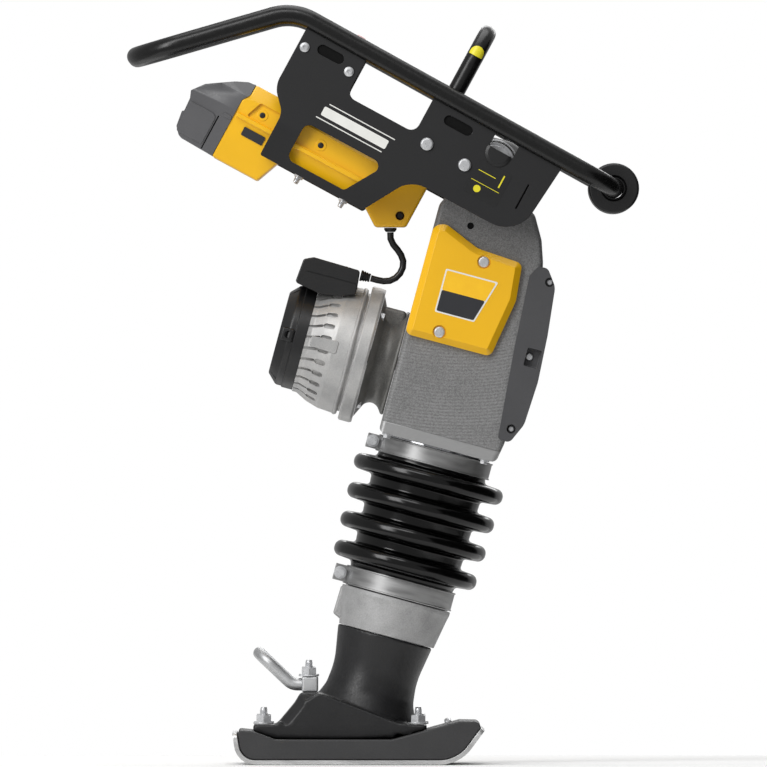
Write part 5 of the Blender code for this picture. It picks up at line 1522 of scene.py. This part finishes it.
housing_low, housing_high = span("battery_housing", HANDLE)
HOUSING_HALF, HOUSING_JOINT = housing_high.y, housing_low.x
HOUSING_FLOOR, HOUSING_SHOULDER, HOUSING_TOP = -173.0, -80.0, -60.0
HOUSING_KNEE = PLATE_FOLD_HEIGHT - 6.0
HOUSING_SCREWS = ((-304.0, -92.5), (-216.0, -90.5))


def housing_half(height, inset=0.0):
    """Half width of the housing and pack at a height: upright above, drawn in below."""
    half = HOUSING_HALF - inset
    low = half - (HOUSING_KNEE - HOUSING_FLOOR) * math.tan(PLATE_FOLD) - 2.0
    stations = [(HOUSING_FLOOR, low), (HOUSING_KNEE, half - 2.0), (HOUSING_SHOULDER, half),
                (HOUSING_TOP, half - 22.0)]
    if height <= stations[0][0]:
        return low
    for (below, narrow), (above, wide) in zip(stations, stations[1:]):
        if height <= above:
            return narrow + (wide - narrow) * (height - below) / (above - below)
    return stations[-1][1]


def shape_width(bm, inset=0.0):
    """Scale a solid of half width 1 to the housing's width at each height."""
    for height in (HOUSING_FLOOR, HOUSING_KNEE, HOUSING_SHOULDER, HOUSING_TOP):
        split_level(bm, height)
    for vert in bm.verts:
        vert.co.y *= housing_half(vert.co.z, inset)
    return bm


def make_battery_housing(sizes):
    """Moulded tray for the battery, with side pockets, screw bosses and a long ridge."""
    joint = HOUSING_JOINT
    corners = [(joint, -173.0, 3.0), (-269.0, -173.0, 4.0), (-254.0, -134.0, 5.0),
               (-152.0, -134.0, 5.0), (-127.0, -84.0, 7.0), (-130.0, -60.5, 6.0),
               (joint + 7.0, -60.5, 3.0), (joint + 7.0, -76.0, 3.0), (joint, -87.0, 3.0)]
    bm = ease(shape_width(slab(corners, -1.0, 1.0, 5)), sizes.edge, 3, 20.0)
    wall = 5.0
    room = [(joint - 10.0, -173.0 + wall), (-269.0 - wall, -173.0 + wall),
            (-257.0 - wall, -134.0 + wall), (-154.0 - wall, -134.0 + wall),
            (-132.0 - wall, -84.0), (-135.0 - wall, -65.5), (joint - 10.0, -65.5)]
    bm = carve(bm, shape_width(slab(room, -1.0, 1.0, 1), wall + 3.0))
    pockets, bosses, holes = [], [], []
    for side in (-1, 1):
        outer = side * (HOUSING_HALF + 8.0)
        for outline in ([(-323.0, -103.0, 3.0), (-270.0, -103.0, 3.0), (-270.0, -79.0, 3.0),
                         (-314.0, -79.0, 4.0)],
                        [(-256.0, -103.0, 5.0), (-128.0, -103.0, 5.0), (-128.0, -66.0, 5.0),
                         (-256.0, -66.0, 5.0)]):
            pockets.append(slab(outline, side * (HOUSING_HALF - 6.5), outer, 4))
        for x, z in HOUSING_SCREWS:
            boss = turned([(0.0, -7.6), (8.0, -7.6), (7.6, -5.7, 0.8), (0.0, -5.7)],
                          segments=40)
            bosses.append(stood(boss, (x, side * HOUSING_HALF, z), ACROSS * side))
            hole = pin(4.2, -7.0, 2.0, segments=28)
            holes.append(stood(hole, (x, side * HOUSING_HALF, z), ACROSS * side))
    bm = carve(bm, gather(pockets))
    bm = carve(carve(bm, gather(bosses), "UNION"), gather(holes))
    parts = [bm]
    for side in (-1, 1):
        ridge = slab([(joint + 2.0, -110.5, 2.0), (-140.0, -110.5, 2.0), (-136.0, -104.5, 2.0),
                      (joint + 2.0, -104.5, 2.0)], side * (HOUSING_HALF - 8.0),
                     side * (HOUSING_HALF - 0.2), 3)
        parts.append(ease(ridge, 1.4, 3, 60.0))
    finish("battery_housing_moulded", gather(parts), HANDLE, "yellow", "handle",
           ["battery_housing"])
    screws = []
    for side in (-1, 1):
        for x, z in HOUSING_SCREWS:
            screws.append(stood(socket_screw(3.9, 0.9), (x, side * (HOUSING_HALF - 7.1), z),
                                ACROSS * side))
    finish("battery_housing_screws", gather(screws), HANDLE, "nylon", "handle")
    for side, label in SIDES:
        face = side * (housing_half(-123.0) + 0.15)
        film = slab(rectangle(-318.0, -286.0, -6.5, 6.5, 1.5), 0.0, side * 0.3, 3)
        lean = math.atan2(housing_half(-116.0) - housing_half(-130.0), 14.0)
        bmesh.ops.rotate(film, cent=(0, 0, 0), matrix=Matrix.Rotation(-side * lean, 3, "X"),
                         verts=film.verts)
        moved(film, (0.0, face, -123.0))
        finish(f"battery_housing_label_{label}", film, HANDLE, "label_dark",
               "handle")


def make_battery_pack(sizes):
    """Moulded battery pack: chamfered crown, side panels, a latch and finger grooves."""
    joint = HOUSING_JOINT
    corners = [(joint - 0.4, -172.0), (-390.0, -170.5, 8.0), (-399.5, -160.0, 4.0),
               (-402.5, -138.5, 2.0), (-400.0, -137.0, 2.0), (-401.0, -118.5, 3.0),
               (-405.0, -108.5, 2.0), (-392.0, -92.0, 3.0), (-358.0, -69.5, 30.0),
               (joint - 4.0, -62.0, 3.0), (joint + 6.4, -60.6), (joint + 6.4, -76.4),
               (joint - 0.4, -87.4)]
    bm = ease(shape_width(slab(corners, -1.0, 1.0, 6)), sizes.edge, 3, 20.0,
              lambda e: max(v.co.x for v in e.verts) < joint - 1.0)
    grooves = []
    for side in (-1, 1):
        outer = side * (HOUSING_HALF + 10.0)
        grooves.append(slab(rectangle(-356.6, -354.8, -180.0, -121.0), side * 100.0, outer))
    level = -112.0
    for i in range(3):
        grooves.append(block((-410.0, -70.0, level - 10.0 * i - 30.0),
                             (-399.0, 70.0, level - 10.0 * i - 26.0)))
    bm = carve(bm, gather(grooves))
    parts = [bm]
    for side in (-1, 1):
        panel = shape_width(slab([(-397.5, -166.0, 5.0), (-358.0, -166.0, 3.0),
                                  (-358.0, -121.0, 7.0), (-399.0, -121.0, 3.0)],
                                 side * 0.5, side * 1.012, 5))
        parts.append(ease(panel, 1.2, 3, 45.0))
        rail = shape_width(slab([(-352.0, -119.0, 3.0), (joint - 1.0, -119.0, 3.0),
                                 (joint - 1.0, -113.0, 3.0), (-352.0, -113.0, 3.0)],
                                side * 0.5, side * 1.008, 4))
        parts.append(ease(rail, 0.9, 2, 45.0))
    latch = slab([(-390.0, -102.0), (-389.0, -88.5, 3.0), (-357.0, -67.6, 5.0), (-352.0, -90.0)],
                 -34.0, 34.0, 4)
    parts.append(ease(latch, 1.6, 3, 50.0))
    plug = shape_width(slab(rectangle(joint - 8.0, joint + 58.0, -166.0, -70.0, 4.0), -1.0, 1.0),
                       9.5)
    parts.append(ease(plug, 2.0, 2, 30.0))
    finish("battery_pack_moulded", gather(parts), HANDLE, "battery", "battery",
           ["battery_pack"])


OUTLET_SCREW = (-77.5, -122.5)


def make_cable_outlet():
    """Moulded cable outlet under the plates, with a screw recess on each side."""
    half = span("cable_outlet_block", HANDLE)[1].y
    corners = [(-124.0, -84.0, 4.0), (-126.0, -134.0, 5.0), (-99.7, -151.9, 6.0),
               (-63.0, -132.0, 5.0), (-63.0, -64.0, 4.0), (-100.0, -64.0, 18.0)]
    bm = ease(slab(corners, -half, half, 6), 5.0, 4, 60.0)
    screws = []
    for side in (-1, 1):
        bm = carve(bm, side_pin(side, 6.2, half - 7.0, half + 4.0, *OUTLET_SCREW, 36))
        x, z = OUTLET_SCREW
        screws.append(stood(socket_screw(5.6, 3.0), (x, side * (half - 7.0), z), ACROSS * side))
    finish("cable_outlet_moulded", bm, HANDLE, "yellow", "handle",
           ["cable_outlet_block"])
    finish("cable_outlet_screws", gather(screws), HANDLE, "nylon", "handle")


def make_console():
    """Folded switch console between the plates' rear ears, with its stop and start buttons."""
    low, high = span("console", HANDLE)
    corners = [(low.x, low.z, 4.0), (high.x, low.z, 4.0), (high.x, high.z, 6.0),
               (low.x, high.z, 6.0)]
    bm = ease(slab(corners, low.y, high.y), 1.0, 2, 60.0)
    collars = []
    for node, body, ink, slot in (("stop_button", "stop_knob", "red", "red_plastic"),
                                  ("start_button", "start_knob", "green", "green_plastic")):
        low_knob, high_knob = span(node, HANDLE)
        centre = ((low_knob.x + high_knob.x) / 2.0, (low_knob.y + high_knob.y) / 2.0, 0.0)
        radius = (high_knob.x - low_knob.x) / 2.0
        stem, neck, top = radius - 4.0, high.z + 6.0, high_knob.z
        bm = carve(bm, pin(stem + 0.6, 10.0, 60.0, "Z", centre, 40))
        collars.append(turned([(radius + 0.6, high.z - 0.5), (radius + 4.0, high.z - 0.5),
                               (radius + 4.0, high.z + 1.2, 0.6), (radius + 2.2, high.z + 4.5, 1.0),
                               (radius + 0.6, high.z + 4.5)], "Z", centre, 48, closed=True))
        knob = turned([(0.0, low_knob.z), (stem, low_knob.z), (stem, neck, 1.0),
                       (radius, neck, 1.5), (radius, top - 8.0, 3.0), (radius * 0.55, top, 8.0),
                       (0.0, top)], "Z", centre, 56)
        finish(f"{node}_mushroom", knob, HANDLE, ink, body, [node])
    finish("console_folded", bm, HANDLE, "plate", "handle",
           ["console"])
    finish("console_collars", gather(collars), HANDLE, "nylon", "handle")


def make_roller():
    """Moulded roller on the front bar, dished at its ends round the bar."""
    low, high = span("front_roller", HANDLE)
    radius, half = (high.z - low.z) / 2.0, high.y
    centre = ((low.x + high.x) / 2.0, 0.0, (low.z + high.z) / 2.0)
    bore = TUBE_RADIUS + 0.8
    bm = turned([(bore, -half + 5.0), (15.5, -half + 5.0, 1.0), (17.5, -half, 1.0),
                 (radius, -half, 3.5), (radius, half, 3.5), (17.5, half, 1.0),
                 (15.5, half - 5.0, 1.0), (bore, half - 5.0)], "Y", centre, 120, closed=True)
    finish("front_roller_moulded", bm, HANDLE, "nylon", "roller",
           ["front_roller"])


INSIDE_FINISHES = {
    "sleeve": ("con_rod",),
    "ground": ("spring_cylinder", "cylinder_cap", "guide_cylinder", "crank_gear", "crank_pin",
               "piston_guide", "wrist_pin", "ram_piston", "upper_ram_spring",
               "lower_ram_spring", "motor_shaft", "motor_pinion", "rotor_core",
               "front_bearing", "crank_bearing", "rear_bearing"),
    "copper": ("motor_stator",),
    "drum": ("rear_end_shield",),
    "nylon": ("cooling_fan",),
}


def finish_inside():
    """Finishes on the working parts that keep their CAD shapes."""
    for name, nodes in INSIDE_FINISHES.items():
        for node in nodes:
            for entry in frame["nodes"][node].material_slots:
                entry.material = finish_named(name)


# Operators ------------------------------------------------------------------------------------


class RAMMER_OT_stage(Operator):
    """Camera, soft studio light and a pale floor."""

    bl_idname = "rammer.stage"
    bl_label = "Stage"

    def execute(self, context):
        make_stage()
        return {"FINISHED"}


class RAMMER_OT_cable(Operator):
    """Power cable between the outlet and the drive electronics, with its gland and boot."""

    bl_idname = "rammer.cable"
    bl_label = "Power Cable"

    def execute(self, context):
        make_cable()
        return {"FINISHED"}


class RAMMER_OT_shoe(Operator):
    """Sole plate and shoe body."""

    bl_idname = "rammer.shoe"
    bl_label = "Shoe and Sole"

    def execute(self, context):
        make_sole()
        make_shoe()
        return {"FINISHED"}


class RAMMER_OT_foot(Operator):
    """Foot casting, its hoop and its studs."""

    bl_idname = "rammer.foot"
    bl_label = "Foot Casting"

    def execute(self, context):
        make_foot()
        make_rear_hoop()
        make_studs()
        return {"FINISHED"}


class RAMMER_OT_leg(Operator):
    """Leg sleeve, bellows and the two band clamps."""

    bl_idname = "rammer.leg"
    bl_label = "Leg and Bellows"

    def execute(self, context):
        make_sleeve()
        make_bellows(context.scene.rammer_sizes)
        make_clamp("upper_clamp", "machine", 71.0)
        make_clamp("lower_clamp", "foot", 67.5)
        return {"FINISHED"}


class RAMMER_OT_crankcase(Operator):
    """Crankcase casting with the bolts round its foot."""

    bl_idname = "rammer.crankcase"
    bl_label = "Crankcase"

    def execute(self, context):
        make_crankcase()
        return {"FINISHED"}


class RAMMER_OT_covers(Operator):
    """Side covers with their screws and plain labels."""

    bl_idname = "rammer.covers"
    bl_label = "Side Covers"

    def execute(self, context):
        make_side_covers(context.scene.rammer_sizes)
        return {"FINISHED"}


class RAMMER_OT_guard(Operator):
    """Moulded guard on the crankcase's front."""

    bl_idname = "rammer.guard"
    bl_label = "Front Guard"

    def execute(self, context):
        make_front_guard()
        return {"FINISHED"}


class RAMMER_OT_motor(Operator):
    """Motor neck, flange, slotted drum, fan cover and drive electronics."""

    bl_idname = "rammer.motor"
    bl_label = "Motor"

    def execute(self, context):
        make_motor_adapter()
        make_motor_drum(context.scene.rammer_sizes)
        make_fan_cover()
        make_controller()
        return {"FINISHED"}


class RAMMER_OT_mounts(Operator):
    """Rubber bushes that the handle rocks on."""

    bl_idname = "rammer.mounts"
    bl_label = "Rubber Mounts"

    def execute(self, context):
        make_rubber_mounts()
        return {"FINISHED"}


class RAMMER_OT_handle(Operator):
    """Handle tube, side plates, lifting hoop and roller."""

    bl_idname = "rammer.handle"
    bl_label = "Handle"

    def execute(self, context):
        make_handle_tube(context.scene.rammer_sizes)
        make_side_plates()
        make_lifting_hoop()
        make_roller()
        return {"FINISHED"}


class RAMMER_OT_battery(Operator):
    """Battery housing, battery pack and cable outlet."""

    bl_idname = "rammer.battery"
    bl_label = "Battery"

    def execute(self, context):
        sizes = context.scene.rammer_sizes
        make_battery_housing(sizes)
        make_battery_pack(sizes)
        make_cable_outlet()
        return {"FINISHED"}


class RAMMER_OT_console(Operator):
    """Switch console with its stop and start buttons."""

    bl_idname = "rammer.console"
    bl_label = "Console"

    def execute(self, context):
        make_console()
        return {"FINISHED"}


class RAMMER_OT_inside(Operator):
    """Finishes on the gears, springs, bearings and motor parts."""

    bl_idname = "rammer.inside"
    bl_label = "Inside Parts"

    def execute(self, context):
        finish_inside()
        return {"FINISHED"}


BUILDERS = (
    RAMMER_OT_stage, RAMMER_OT_cable, RAMMER_OT_shoe, RAMMER_OT_foot, RAMMER_OT_leg,
    RAMMER_OT_crankcase, RAMMER_OT_covers, RAMMER_OT_guard, RAMMER_OT_motor, RAMMER_OT_mounts,
    RAMMER_OT_handle, RAMMER_OT_battery, RAMMER_OT_console, RAMMER_OT_inside,
)


class RAMMER_PT_panel(Panel):
    """Sizes, colours and builders of the trench rammer."""

    bl_label = "Trench Rammer"
    bl_space_type = "VIEW_3D"
    bl_region_type = "UI"
    bl_category = "Rammer"

    def draw(self, context):
        for group in (context.scene.rammer_sizes, context.scene.rammer_colours):
            for name in type(group).__annotations__:
                self.layout.prop(group, name)
        for builder in BUILDERS:
            self.layout.operator(builder.bl_idname)


CLASSES = (RammerColours, RammerSizes, *BUILDERS, RAMMER_PT_panel)


def register():
    for cls in CLASSES:
        bpy.utils.register_class(cls)
    bpy.types.Scene.rammer_colours = PointerProperty(type=RammerColours)
    bpy.types.Scene.rammer_sizes = PointerProperty(type=RammerSizes)


def unregister():
    del bpy.types.Scene.rammer_sizes
    del bpy.types.Scene.rammer_colours
    for cls in reversed(CLASSES):
        bpy.utils.unregister_class(cls)


def main():
    register()
    for builder in BUILDERS:
        category, name = builder.bl_idname.split(".")
        getattr(getattr(bpy.ops, category), name)()


if __name__ == "__main__":
    main()
